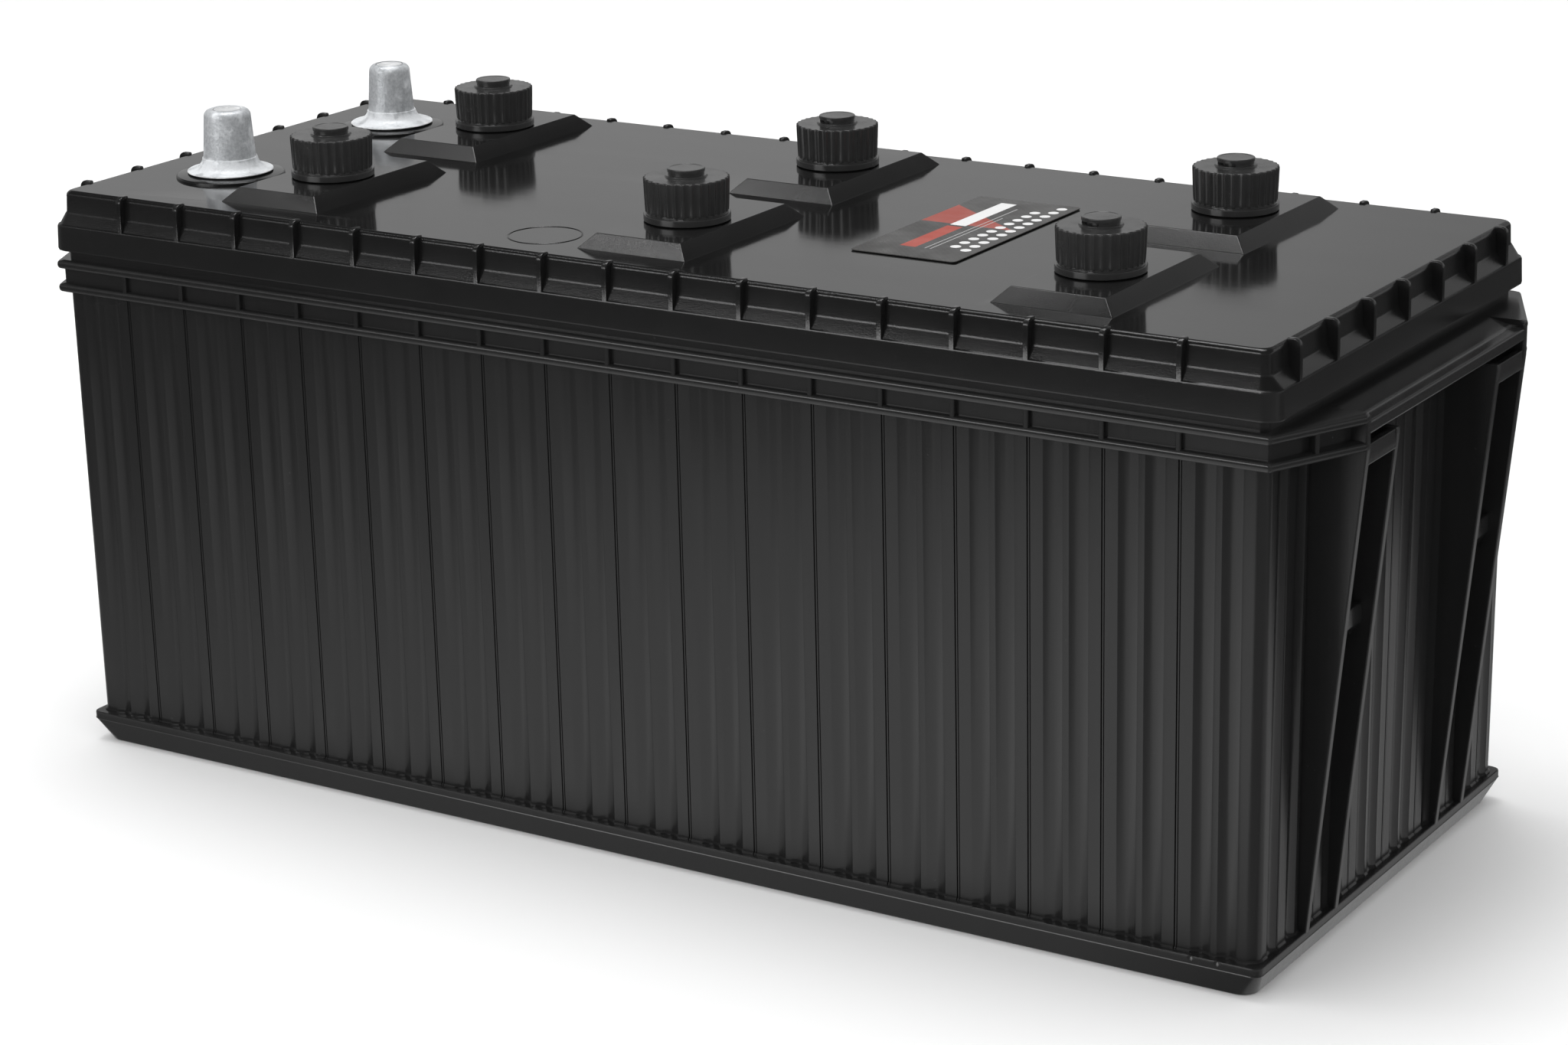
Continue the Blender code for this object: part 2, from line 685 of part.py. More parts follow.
def make_vents(plug_surface, gasket_surface):
    plug = make_plug("plug")
    low = -GASKET[2]
    gasket = turned("gasket", [(GASKET[0], low), (GASKET[1], low), (GASKET[1], 0), (GASKET[0], 0)])
    for number, (x, y) in enumerate(vent_places(), 1):
        place(plug, f"vent_plug_{number}", (x, y, PAD_TOP), plug_surface)
        place(gasket, f"vent_gasket_{number}", (x, y, PAD_TOP), gasket_surface)
    for helper in (plug, gasket):
        bpy.data.objects.remove(helper)


def plate_places(negative):
    """The places of one polarity's plates across a cell: the negative ones are first and last."""
    return pattern(PLATE_PITCH, PLATE_COUNT)[0 if negative else 1 :: 2]


def corner_tab(strap_x, side_y):
    """The tab at the inner end of a strap, where the cells turn the corner of the U."""
    ends = sorted((side_y * (STRAP_HALF_WIDTH - TAB_THICK), side_y * STRAP_HALF_WIDTH))
    low = (strap_x - TAB_HALF_WIDTH, ends[0], STRAP[1] - MM)
    return block("tab", low, (strap_x + TAB_HALF_WIDTH, ends[1], TAB_HIGH))


def side_tab(side_x):
    """The tab on the long edge of a strap, facing the next cell of the row."""
    face = LUG_OFFSET + STRAP_HALF_LENGTH
    ends = sorted((side_x * (face - TAB_THICK), side_x * face))
    low = (ends[0], -TAB_HALF_WIDTH, STRAP[1] - MM)
    return block("tab", low, (ends[1], TAB_HALF_WIDTH, TAB_HIGH))


def make_plates(name, cell, negative, surface):
    """Parallel plates whose lugs meet in a cast strap, with a tab where it joins the next cell."""
    x, y = cell_centre(cell)
    side = 1 if (cell <= 3) == negative else -1
    strap_x = side * LUG_OFFSET
    places = plate_places(negative)
    low = (strap_x - STRAP_HALF_LENGTH, -STRAP_HALF_WIDTH, STRAP[0])
    group = block(name, low, (strap_x + STRAP_HALF_LENGTH, STRAP_HALF_WIDTH, STRAP[1]))
    pieces = []
    for place_y in places:
        front = place_y - PLATE / 2
        back = place_y + PLATE / 2
        plate_low = (-PLATE_HALF_LENGTH, front, PLATE_LOW)
        pieces.append(block("plate", plate_low, (PLATE_HALF_LENGTH, back, PLATE_HIGH)))
        lug_low = (strap_x - LUG_HALF_LENGTH, front + MM / 4, PLATE_HIGH - MM)
        lug_high = (strap_x + LUG_HALF_LENGTH, back - MM / 4, STRAP[0] + MM)
        pieces.append(block("lug", lug_low, lug_high))
    if cell == (3 if negative else 4):
        pieces.append(corner_tab(strap_x, 1 if negative else -1))
    elif cell != (6 if negative else 1):
        pieces.append(side_tab(side))
    unite(group, pieces)
    group.location = (x, y, 0)
    finish(group, surface)


def make_separator(name, cell, surface):
    """A cell's separator leaves, one in each gap between plates, standing on a common rest on the floor."""
    half_width = PLATE_PITCH * (PLATE_COUNT - 1) / 2
    low = (-SEPARATOR_HALF_LENGTH, -half_width, SEPARATOR_MAT[0])
    pack = block(name, low, (SEPARATOR_HALF_LENGTH, half_width, SEPARATOR_MAT[1]))
    leaves = []
    for y in pattern(PLATE_PITCH, PLATE_COUNT - 1):
        leaf_low = (-SEPARATOR_HALF_LENGTH + MM / 2, y - SEPARATOR / 2, SEPARATOR_MAT[1] - MM / 2)
        leaf_high = (SEPARATOR_HALF_LENGTH - MM / 2, y + SEPARATOR / 2, SEPARATOR_HIGH)
        leaves.append(block("leaf", leaf_low, leaf_high))
    unite(pack, leaves)
    pack.location = (*cell_centre(cell), 0)
    finish(pack, surface)


def make_link(name, link, surface):
    """The lead slug that joins two cells through the partition between them."""
    start, end = link_ends(link)
    length = hypot(end[0] - start[0], end[1] - start[1])
    finish(link_rod(name, start, end, LINK_RADIUS, length), surface)


def make_label(surface):
    low = COVER_TOP + GAP
    x, y = LABEL_CENTRE
    corner = (x - LABEL_HALF[0], y - LABEL_HALF[1], low)
    finish(block("label", corner, (x + LABEL_HALF[0], y + LABEL_HALF[1], low + LABEL_THICK)), surface)


def main():
    clear_scene()
    case_plastic = material("case_plastic", (0.030, 0.031, 0.031), 0.45)
    cover_plastic = material("cover_plastic", (0.020, 0.021, 0.021), 0.22)
    plug_plastic = material("plug_plastic", (0.018, 0.019, 0.019), 0.30)
    rubber = material("gasket_rubber", (0.015, 0.015, 0.015), 0.70)
    lead = material("cast_lead", (0.36, 0.37, 0.38), 0.50, 1.0)
    positive_paste = material("positive_paste", (0.105, 0.060, 0.042), 0.90)
    negative_paste = material("negative_paste", (0.230, 0.240, 0.245), 0.85)
    separator = material("separator_sheet", (0.55, 0.54, 0.50), 0.80)
    print_film = material("label_film", (0.040, 0.040, 0.042), 0.35)
    make_case(case_plastic)
    make_cover(cover_plastic)
    make_label(print_film)
    make_vents(plug_plastic, rubber)
    make_terminal("positive_terminal", -1, POSITIVE_TAPER, lead)
    make_terminal("negative_terminal", 1, NEGATIVE_TAPER, lead)
    make_post("positive_post", -1, lead)
    make_post("negative_post", 1, lead)
    for cell in range(1, 7):
        make_plates(f"positive_plates_{cell}", cell, False, positive_paste)
        make_plates(f"negative_plates_{cell}", cell, True, negative_paste)
        make_separator(f"separator_pack_{cell}", cell, separator)
    for link in range(1, 6):
        make_link(f"intercell_connector_{link}", link, lead)


main()
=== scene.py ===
"""The looks of a twelve-volt flooded lead-acid battery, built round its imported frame.

+X runs along the case, -Y is its front, +Z is up. Lengths are in metres, and MM is one millimetre.
Outlines are lists of (x, y) points. Profiles are lists of (radius, height) or (outward, height) points.
"""

from math import cos, hypot, pi, radians, sin, sqrt

import bmesh
import bpy
from mathutils import Matrix, Vector


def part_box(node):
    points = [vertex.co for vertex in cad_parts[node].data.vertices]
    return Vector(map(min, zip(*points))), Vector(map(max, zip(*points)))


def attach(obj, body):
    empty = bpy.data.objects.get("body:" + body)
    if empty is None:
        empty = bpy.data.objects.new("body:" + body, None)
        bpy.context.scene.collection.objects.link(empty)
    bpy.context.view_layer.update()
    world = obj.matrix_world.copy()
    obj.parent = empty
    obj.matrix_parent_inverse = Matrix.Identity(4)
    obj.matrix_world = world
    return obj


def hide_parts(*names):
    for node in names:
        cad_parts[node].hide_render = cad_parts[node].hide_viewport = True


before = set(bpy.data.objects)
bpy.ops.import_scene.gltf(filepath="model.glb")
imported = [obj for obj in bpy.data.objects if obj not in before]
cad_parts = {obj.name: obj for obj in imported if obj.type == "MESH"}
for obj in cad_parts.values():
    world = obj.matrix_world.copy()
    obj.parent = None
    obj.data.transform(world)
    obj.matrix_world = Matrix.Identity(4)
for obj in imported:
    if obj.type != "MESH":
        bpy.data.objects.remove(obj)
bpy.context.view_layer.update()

MM = 0.001
CELLS = range(1, 7)
CONTAINER = "container"

# Steps round a turned piece, and how close two points are to be one
ROUND = 96
DOUBLED = 0.002 * MM

# Outer sizes, taken from the frame
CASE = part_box("case")[1]
COVER_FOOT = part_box("cover")[0].z
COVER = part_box("cover")[1]
PAD_HEIGHT = 5.0 * MM
COVER_TOP = COVER.z - PAD_HEIGHT

# Case, half sizes in plan
BASE_RIM = (COVER.x - 2.2 * MM, CASE.y)
BASE_FOOT = (BASE_RIM[0] - 3.8 * MM, BASE_RIM[1] - 2.9 * MM)
WALL_FOOT = (BASE_RIM[0] - 2.5 * MM, BASE_RIM[1] - 3.6 * MM)
WALL_TOP = (BASE_RIM[0] - 1.8 * MM, BASE_RIM[1] - 2.6 * MM)
NECK = (BASE_RIM[0] - 2.3 * MM, BASE_RIM[1] - 3.3 * MM)
FLANGE = (COVER.x - 2.0 * MM, CASE.y - 0.1 * MM)
FLANGE_CORE = (FLANGE[0] - 1.8 * MM, FLANGE[1] - 2.3 * MM)
EAR = CASE.x

# Case, heights
PARTING_LINE = 8.8 * MM
RIM_TOP = 11.6 * MM
FLOOR = 3.2 * MM
FLANGE_LOW = 177.7 * MM
FLANGE_HIGH = 190.1 * MM
FLANGE_RIB = 3.6 * MM
FLANGE_NOSE = FLANGE_RIB / 2.4
BETWEEN_RIBS = (FLANGE_LOW + FLANGE_RIB / 2, FLANGE_HIGH - FLANGE_RIB / 2)
FLANGE_FILLET = 1.6 * MM
NECK_TOP = 203.0 * MM

# Case, edges, as (inset, height) and, for the bead at the wall's foot, (share of it, height over the rim)
FOOT_EDGE = [(1.0 * MM, 0.0), (0.3 * MM, 0.3 * MM), (0.0, 1.0 * MM)]
RIM_EDGE = [(0.25 * MM, PARTING_LINE - 0.3 * MM), (0.0, PARTING_LINE), (0.12 * MM, PARTING_LINE + 0.25 * MM)]
RIM_EDGE += [(0.1 * MM, RIM_TOP - 0.55 * MM), (0.2 * MM, RIM_TOP - 0.2 * MM), (0.55 * MM, RIM_TOP)]
FOOT_BEAD = 0.6 * MM
BEAD_STEPS = [(1, -3 * MM), (1, 0.35 * MM), (0.5, 0.65 * MM), (0, 1.0 * MM)]
CELL_GAP = (0.2 * MM, 0.3 * MM)
LINK_GAP = 0.3 * MM

# Corner radii in plan
FOOT_CORNER = 6.0 * MM
RIM_CORNER = 3.2 * MM
WALL_CORNER = 4.2 * MM
NECK_CORNER = 3.0 * MM
SKIRT_CORNER = 6.0 * MM
BAND_CORNER = 3.4 * MM
CORNER_STEPS = 8

# Wall pattern: an upright groove at each place, and two shallow hollows in each panel between grooves.
# GROOVE and HOLLOW_BEAD hold (along, inset) and (along, outset) points.
LONG_PITCH = 26.91 * MM
LONG_COUNT = 17
END_PITCH = 28.12 * MM
END_COUNT = 7
GROOVE_DEPTH = 0.8 * MM
GROOVE = [(-0.7 * MM, 0), (-0.42 * MM, GROOVE_DEPTH), (-0.14 * MM, -0.05 * MM)]
GROOVE += [(0.30 * MM, -0.05 * MM), (0.45 * MM, GROOVE_DEPTH / 2), (0.65 * MM, 0)]
HOLLOW_HALF = 3.5 * MM
HOLLOW_DEPTH = 1.05 * MM
HOLLOW_BEAD = [(0.25 * MM, 0.16 * MM), (1.15 * MM, 0)]
HOLLOW_CURVE = 1.45
HOLLOW_OFFSET = 4.7 * MM
HOLLOW_STEPS = 10
END_CORNER_HOLLOW = 89.0 * MM

# End ribs, ears and lifting ledges. A pair is the low and the high side of a piece.
OUTER_RIB = (64.1 * MM, 67.2 * MM)
INNER_RIB = (41.0 * MM, 44.1 * MM)
INNER_RIB_TOP = 180.0 * MM
TIE = (173.0 * MM, 180.0 * MM)
BRACE = (98.0 * MM, 120.0 * MM)
BRACE_FACE = 6.5 * MM
BRACE_REACH = EAR - 10.2 * MM
PLATE_THICK = 2.5 * MM
LEDGE_DROP = 2.6 * MM
LEDGE_LIP = 3.5 * MM
LEDGE_ROUND = 1.3 * MM
EAR_POCKET = 5.0 * MM
WEB_THICK = 1.8 * MM

# Two dents under the rim's top edge at the front right: their places, and the radius and depth of one
RIM_DENTS = (222.5 * MM, 231.8 * MM)
DENT = (2.1 * MM, 0.9 * MM)
DENT_DROP = 0.2 * MM

# Cover. PAD is half a pad's foot, GASKET_RECESS a radius and depth, MARK_RING a place and radius.
SKIRT_FOOT = (COVER.x, COVER.y)
SKIRT = (COVER.x - 0.3 * MM, COVER.y - 0.2 * MM)
SKIRT_HIGH = COVER_TOP - 12.4 * MM
BAND = (COVER.x - 4.4 * MM, COVER.y - 3.4 * MM)
BAND_LOW = COVER_TOP - 8.2 * MM
EDGE_ROUND = 1.8 * MM
CEILING = CASE.z + 0.3 * MM
RIB_THICK = 2.1 * MM
RIB_RISE = 0.75 * MM
PAD = (22.2 * MM, 38.8 * MM)
PAD_COLUMNS = (-157.0 * MM, 0.6 * MM, 162.2 * MM)
PAD_ROW = 48.1 * MM
VENT_HOLE = 10.5 * MM
GASKET_BORE = 10.9 * MM
GASKET_RECESS = (14.0 * MM, 1.1 * MM)
WELL_RADIUS = 13.2 * MM
WELL_LOW = 196.0 * MM
MARK_RING = (-42.4 * MM, -76.0 * MM, 13.0 * MM)
RING_RADIUS = 20.3 * MM
TERMINAL_HOLE = 11 * MM

# Vent plugs, with heights over the pad's top. PLUG_TURNS says where each notch points, in degrees.
STEM = 9.5 * MM
STEM_LOW = -14 * MM
STEM_BORE = 7.5 * MM
BORE_ROOF = 13.0 * MM
THREAD_PITCH = 4.0 * MM
THREAD_LENGTH = 10 * MM
THREAD_RISE = 0.75 * MM
THREAD_SPAN = (-13.2 * MM, -2.8 * MM)
FLUTES = 32
FLUTE_POINTS = 10
FLUTE_DEPTH = 0.7 * MM
FLUTE_LOW = 3.4 * MM
FLUTE_INSIDE = 13.7 * MM
NOTCH_SPAN = radians(80)
NOTCH_HEIGHTS = (16.1 * MM, 17.12 * MM)
NOTCH_DEPTH = 1.5 * MM
PLUG_TURNS = (66, 74, 209, 214, 206, 61)

# Terminals. POST_FOOT is the radius at the taper's foot.
POST_FOOT = {"positive": 9.75 * MM, "negative": 8.95 * MM}
POST_BORE = 5.3 * MM
POST_STEM = 10.6 * MM
SEAT = COVER_TOP + 1.9 * MM
SHOULDER = 2.6 * MM
LUMP = 0.09 * MM
LUMP_HEIGHTS = (COVER_TOP + 2.0 * MM, COVER_TOP + 7.0 * MM)
LUMP_INSIDE = 9.3 * MM
RISER = 5 * MM
RISER_FOOT = 5 * MM


# Mesh helpers


def linked(name, data):
    """A new object in the scene for a mesh, light or camera."""
    made = bpy.data.objects.new(name, data)
    bpy.context.scene.collection.objects.link(made)
    return made


def new_object(name, vertices, faces):
    """A mesh object with its faces turned outwards."""
    mesh = bpy.data.meshes.new(name)
    mesh.from_pydata(vertices, [], faces)
    shape = bmesh.new()
    shape.from_mesh(mesh)
    bmesh.ops.recalc_face_normals(shape, faces=shape.faces)
    if shape.calc_volume(signed=True) < 0:
        bmesh.ops.reverse_faces(shape, faces=shape.faces)
    shape.to_mesh(mesh)
    shape.free()
    return linked(name, mesh)


def loft(name, sections):
    """A closed solid through sections of equal point count, with flat ends."""
    count = len(sections[0])
    vertices = [point for section in sections for point in section]
    faces = [tuple(range(count)), tuple(range(len(vertices) - count, len(vertices)))]
    for start in range(0, len(vertices) - count, count):
        for index in range(count):
            after = (index + 1) % count
            faces.append((start + index, start + after, start + count + after, start + count + index))
    return new_object(name, vertices, faces)


def level(outline, height):
    return [(x, y, height) for x, y in outline]


def shrunk(half, x, y=None):
    """Half sizes (x, y), made smaller by x and by y, or both by x."""
    return (half[0] - x, half[1] - (x if y is None else y))


def rectangle(half_x, half_y):
    return [(-half_x, -half_y), (half_x, -half_y), (half_x, half_y), (-half_x, half_y)]


def rounded(half, radius, steps=CORNER_STEPS):
    """A rectangle of half sizes (x, y) with rounded corners, anticlockwise from the front right corner."""
    outline = []
    for quarter, (side_x, side_y) in enumerate([(1, -1), (1, 1), (-1, 1), (-1, -1)]):
        centre = (side_x * (half[0] - radius), side_y * (half[1] - radius))
        for step in range(steps + 1):
            angle = (quarter - 1 + step / steps) * pi / 2
            outline.append((centre[0] + radius * cos(angle), centre[1] + radius * sin(angle)))
    return outline


def prism(name, outline, low, high):
    """An upright solid with one outline all the way up."""
    return loft(name, [level(outline, low), level(outline, high)])


def block(name, low, high):
    """A box between two opposite corners."""
    middle = [(a + b) / 2 for a, b in zip(low, high)]
    half = [abs(b - a) / 2 for a, b in zip(low, high)]
    outline = [(x + middle[0], y + middle[1]) for x, y in rectangle(half[0], half[1])]
    return prism(name, outline, middle[2] - half[2], middle[2] + half[2])


def plate(name, profile, side, low, high, axis="y"):
    """A flat plate with an (outward, z) outline, on side 1 or -1, from low to high along the axis."""
    outline = [(side * out, z) for out, z in profile]
    if axis == "y":
        return loft(name, [[(x, y, z) for x, z in outline] for y in (low, high)])
    return loft(name, [[(x, y, z) for y, z in outline] for x in (low, high)])


def bar(name, start, end, thick, low, high):
    """An upright plate that runs from start to end in plan."""
    length = hypot(end[0] - start[0], end[1] - start[1])
    across = (-(end[1] - start[1]) / length * thick / 2, (end[0] - start[0]) / length * thick / 2)
    corners = ((start, 1), (start, -1), (end, -1), (end, 1))
    outline = [(x + side * across[0], y + side * across[1]) for (x, y), side in corners]
    return prism(name, outline, low, high)


def turned(name, profile, steps=ROUND, radius_at=None):
    """A solid turned about Z from a closed profile. radius_at(radius, height, angle) may shape each ring."""
    vertices = []
    rings = []
    for radius, height in profile:
        points = steps if radius else 1
        rings.append([len(vertices) + index for index in range(points)])
        for index in range(points):
            angle = 2 * pi * (index + 0.5) / steps
            shaped = radius_at(radius, height, angle) if radius_at and radius else radius
            vertices.append((shaped * cos(angle), shaped * sin(angle), height))
    faces = []
    for ring, following in zip(rings, rings[1:] + rings[:1]):
        if len(ring) == len(following) == 1:
            continue
        for index in range(steps):
            after = (index + 1) % steps
            corners = [ring[index % len(ring)], ring[after % len(ring)]]
            corners += [following[after % len(following)], following[index % len(following)]]
            faces.append(tuple(dict.fromkeys(corners)))
    return new_object(name, vertices, faces)


def column(name, radius, low, high):
    return turned(name, [(0, low), (radius, low), (radius, high), (0, high)])


def in_mm(*points):
    return [(x * MM, y * MM) for x, y in points]


def arc(centre, radius, start, end, steps):
    """Points of an arc from angle start to end, in degrees."""
    angles = [radians(start + (end - start) * step / steps) for step in range(steps + 1)]
    return [(centre[0] + radius * cos(angle), centre[1] + radius * sin(angle)) for angle in angles]


def settle(obj):
    """Applies the object's modifiers and its own transform."""
    bpy.context.view_layer.update()
    graph = bpy.context.evaluated_depsgraph_get()
    mesh = bpy.data.meshes.new_from_object(obj.evaluated_get(graph))
    mesh.transform(obj.matrix_world)
    obj.modifiers.clear()
    obj.data = mesh
    obj.matrix_world = Matrix.Identity(4)
    return obj


def bevelled(obj, width, segments=2, angle=30):
    step = obj.modifiers.new("bevel", "BEVEL")
    step.width = width
    step.segments = segments
    step.limit_method = "ANGLE"
    step.angle_limit = radians(angle)
    return settle(obj)


def joined(name, pieces):
    """One mesh out of several, each still its own closed shell."""
    shape = bmesh.new()
    for piece in pieces:
        settle(piece)
        shape.from_mesh(piece.data)
        bpy.data.objects.remove(piece)
    mesh = bpy.data.meshes.new(name)
    shape.to_mesh(mesh)
    shape.free()
    return linked(name, mesh)


def boolean(target, tools, operation):
    """One exact Boolean with all the tools at once, which may cross each other."""
    tool = joined("tools", tools)
    step = target.modifiers.new("boolean", "BOOLEAN")
    step.operation = operation
    step.solver = "EXACT"
    step.use_self = True
    step.object = tool
    settle(target)
    bpy.data.objects.remove(tool)
    return target


def cleaned(obj):
    """Merges the doubled points that Booleans leave, and drops the empty faces between them."""
    shape = bmesh.new()
    shape.from_mesh(obj.data)
    bmesh.ops.remove_doubles(shape, verts=shape.verts, dist=DOUBLED)
    bmesh.ops.dissolve_degenerate(shape, edges=shape.edges, dist=DOUBLED)
    shape.to_mesh(obj.data)
    shape.free()
    return obj


def unite(target, tools):
    return boolean(target, tools, "UNION")


def cut(target, tools):
    return boolean(target, tools, "DIFFERENCE")


def moved(obj, x, y, z=0.0, turn=0.0):
    obj.location = (x, y, z)
    obj.rotation_euler = (0, 0, turn)
    return obj


def finish(obj, surface, body, nodes, sharp=32):
    """Smooth shading, material, and the frame's body and nodes that the piece stands for."""
    obj.data.materials.clear()
    obj.data.materials.append(surface)
    obj.data.shade_smooth()
    obj.data.set_sharp_from_angle(angle=radians(sharp))
    weighted = obj.modifiers.new("weighted", "WEIGHTED_NORMAL")
    weighted.keep_sharp = True
    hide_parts(*nodes)
    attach(obj, body)


def middle_of(node):
    """The middle (x, y) of a node in plan."""
    low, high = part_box(node)
    return (low.x + high.x) / 2, (low.y + high.y) / 2


def pattern(pitch, count):
    """The places of a row of features, centred on the middle of the wall."""
    return [(index - (count - 1) / 2) * pitch for index in range(count)]


# Case


def hollow_points(middle):
    """(along, inset) points of one shallow upright hollow with crisp edges."""
    points = []
    for step in range(HOLLOW_STEPS + 1):
        share = 2 * step / HOLLOW_STEPS - 1
        points.append((middle + share * HOLLOW_HALF, HOLLOW_DEPTH * (1 - abs(share) ** HOLLOW_CURVE)))
    points += [(middle + HOLLOW_HALF + along, -proud) for along, proud in HOLLOW_BEAD]
    return points


def wall_points(pitch, count, reach, extra=()):
    """(along, inset) points of one wall, from -reach to reach. extra are hollows outside the pattern."""
    points = [(groove + along, inset) for groove in pattern(pitch, count) for along, inset in GROOVE]
    middles = list(extra)
    for panel in pattern(pitch, count + 1):
        middles += [panel - HOLLOW_OFFSET, panel + HOLLOW_OFFSET]
    for middle in middles:
        if -reach + HOLLOW_HALF < middle < reach - HOLLOW_HALF - HOLLOW_BEAD[-1][0]:
            points += hollow_points(middle)
    return sorted(points)


LONG_WALL = wall_points(LONG_PITCH, LONG_COUNT, WALL_FOOT[0] - WALL_CORNER)
END_EXTRA = (-END_CORNER_HOLLOW, END_CORNER_HOLLOW)
END_WALL = wall_points(END_PITCH, END_COUNT, WALL_FOOT[1] - WALL_CORNER, END_EXTRA)


def patterned(half):
    """The outline of the walls, with the same point count for every half size."""
    corners = rounded(half, WALL_CORNER)
    quarter = len(corners) // 4
    walls = [
        [(along, inset - half[1]) for along, inset in LONG_WALL],
        [(half[0] - inset, along) for along, inset in END_WALL],
        [(-along, half[1] - inset) for along, inset in LONG_WALL],
        [(inset - half[0], -along) for along, inset in END_WALL],
    ]
    outline = []
    for index, wall in enumerate(walls):
        outline += wall + corners[index * quarter : (index + 1) * quarter]
    return outline


def filleted(outline, radius, steps=6):
    """An outline with every corner rounded."""
    rounded_off = []
    for index, corner in enumerate(outline):
        before = Vector(outline[index - 1]) - Vector(corner)
        after = Vector(outline[(index + 1) % len(outline)]) - Vector(corner)
        half_angle = before.angle(after) / 2
        reach = min(radius * cos(half_angle) / sin(half_angle), 0.45 * before.length, 0.45 * after.length)
        start = Vector(corner) + before.normalized() * reach
        end = Vector(corner) + after.normalized() * reach
        for step in range(steps + 1):
            share = step / steps
            inner = start.lerp(Vector(corner), share).lerp(Vector(corner).lerp(end, share), share)
            rounded_off.append((inner.x, inner.y))
    return rounded_off


def eared(half, reach, ear):
    """The flange in plan: its corners slant out at each end to an ear beside the outer end rib."""
    quarter = [(half[0], OUTER_RIB[0]), (reach, OUTER_RIB[0]), (reach, ear), half]
    outline = []
    for side_x, side_y in [(1, 1), (-1, 1), (-1, -1), (1, -1)]:
        corner = [(side_x * x, side_y * y) for x, y in quarter]
        outline += corner if side_x * side_y > 0 else corner[::-1]
    return outline


def flange_rib(name, low, steps=8, squareness=2.6):
    """One of the two ribs round the case, with a rounded nose."""
    sections = []
    for step in range(steps + 1):
        share = step / steps
        back = FLANGE_NOSE * (1 - sqrt(max(0.0, 1 - abs(2 * share - 1) ** squareness)))
        outline = eared(shrunk(FLANGE, back), EAR - back, OUTER_RIB[1] - back)
        sections.append(level(filleted(outline, FLANGE_FILLET), low + share * FLANGE_RIB))
    return loft(name, sections)


def flange_webs():
    """The upright webs between the two flange ribs: one at each groove, and one in each slanting ear."""
    webs = []
    for side in (-1, 1):
        for x in pattern(LONG_PITCH, LONG_COUNT):
            start = (x, side * (FLANGE_CORE[1] - MM))
            end = (x, side * (FLANGE[1] - 0.5 * MM))
            webs.append(bar("web", start, end, WEB_THICK, *BETWEEN_RIBS))
    nose = ((FLANGE[0] + EAR) / 2, (FLANGE[1] + OUTER_RIB[1]) / 2)
    for side_x in (-1, 1):
        for side_y in (-1, 1):
            start = (side_x * (nose[0] - 2 * EAR_POCKET), side_y * (nose[1] - EAR_POCKET))
            end = (side_x * (nose[0] - 0.5 * MM), side_y * (nose[1] - 0.25 * MM))
            webs.append(bar("web", start, end, WEB_THICK, *BETWEEN_RIBS))
    return [bevelled(web, 0.3 * MM, 1) for web in webs]


def end_rib(side, top, low, high):
    """A rib on the end wall: it tapers from the flange down to the base rim."""
    foot = RIM_TOP - MM
    root = WALL_FOOT[0] - 2 * MM
    profile = [(root, foot), (BASE_RIM[0] - 0.1 * MM, foot), (EAR, FLANGE_LOW), (EAR, top), (root, top)]
    return bevelled(plate("rib", profile, side, low, high), 0.45 * MM)


def ledge(side):
    """The lifting ledge: it slopes out from the neck to a rounded, turned-down lip."""
    edge = FLANGE_HIGH - LEDGE_DROP
    root = NECK[0] - 2 * MM
    lip = arc((EAR - LEDGE_ROUND, edge - LEDGE_ROUND), LEDGE_ROUND, 80, 0, 5)
    lip += arc((EAR - PLATE_THICK / 2, edge - LEDGE_LIP), PLATE_THICK / 2, 0, -180, 10)
    profile = [(root, FLANGE_HIGH), (FLANGE[0] + 3 * MM, FLANGE_HIGH), (EAR - 4.4 * MM, edge + 0.5 * MM)]
    profile += [(EAR - 4.0 * MM, edge + 0.1 * MM), (EAR - 3.5 * MM, edge + 0.35 * MM)] + lip
    profile += [(EAR - PLATE_THICK, edge - PLATE_THICK + MM)]
    profile += [(FLANGE[0], FLANGE_HIGH - PLATE_THICK), (root, FLANGE_HIGH - PLATE_THICK)]
    reach = OUTER_RIB[0] + MM
    return plate("ledge", profile, side, -reach, reach)


def end_brace(side, low, high):
    """A gusset between two end ribs: a short upright face over a slope back to the wall."""
    root = WALL_FOOT[0] - 2 * MM
    profile = [(root, BRACE[0]), (BRACE_REACH, BRACE[1] - BRACE_FACE)]
    profile += [(BRACE_REACH, BRACE[1]), (root, BRACE[1])]
    return bevelled(plate("brace", profile, side, low, high), 0.35 * MM)


def end_structure(side):
    """The four tapering ribs of one end, their ties and braces, and the lifting ledge."""
    pieces = [ledge(side)]
    tie_reach = EAR - 0.3 * MM
    for side_y in (-1, 1):
        outer = sorted(side_y * y for y in OUTER_RIB)
        inner = sorted(side_y * y for y in INNER_RIB)
        between = sorted((side_y * (INNER_RIB[1] - MM), side_y * (OUTER_RIB[0] + MM)))
        pieces.append(end_rib(side, FLANGE_HIGH - MM, *outer))
        pieces.append(end_rib(side, INNER_RIB_TOP, *inner))
        pieces.append(end_brace(side, *between))
        near = (side * (tie_reach - PLATE_THICK), between[0], TIE[0])
        far = (side * tie_reach, between[1], TIE[1] - 0.25 * MM)
        pieces.append(bevelled(block("tie", near, far), 0.35 * MM))
    return pieces


def base():
    """The foot of the case: a rounded edge, a slope out to the fine parting line, and an upright rim."""
    sections = []
    for half, corner, edge in ((BASE_FOOT, FOOT_CORNER, FOOT_EDGE), (BASE_RIM, RIM_CORNER, RIM_EDGE)):
        for inset, height in edge:
            sections.append(level(rounded(shrunk(half, inset), corner), height))
    return loft("case_body", sections)


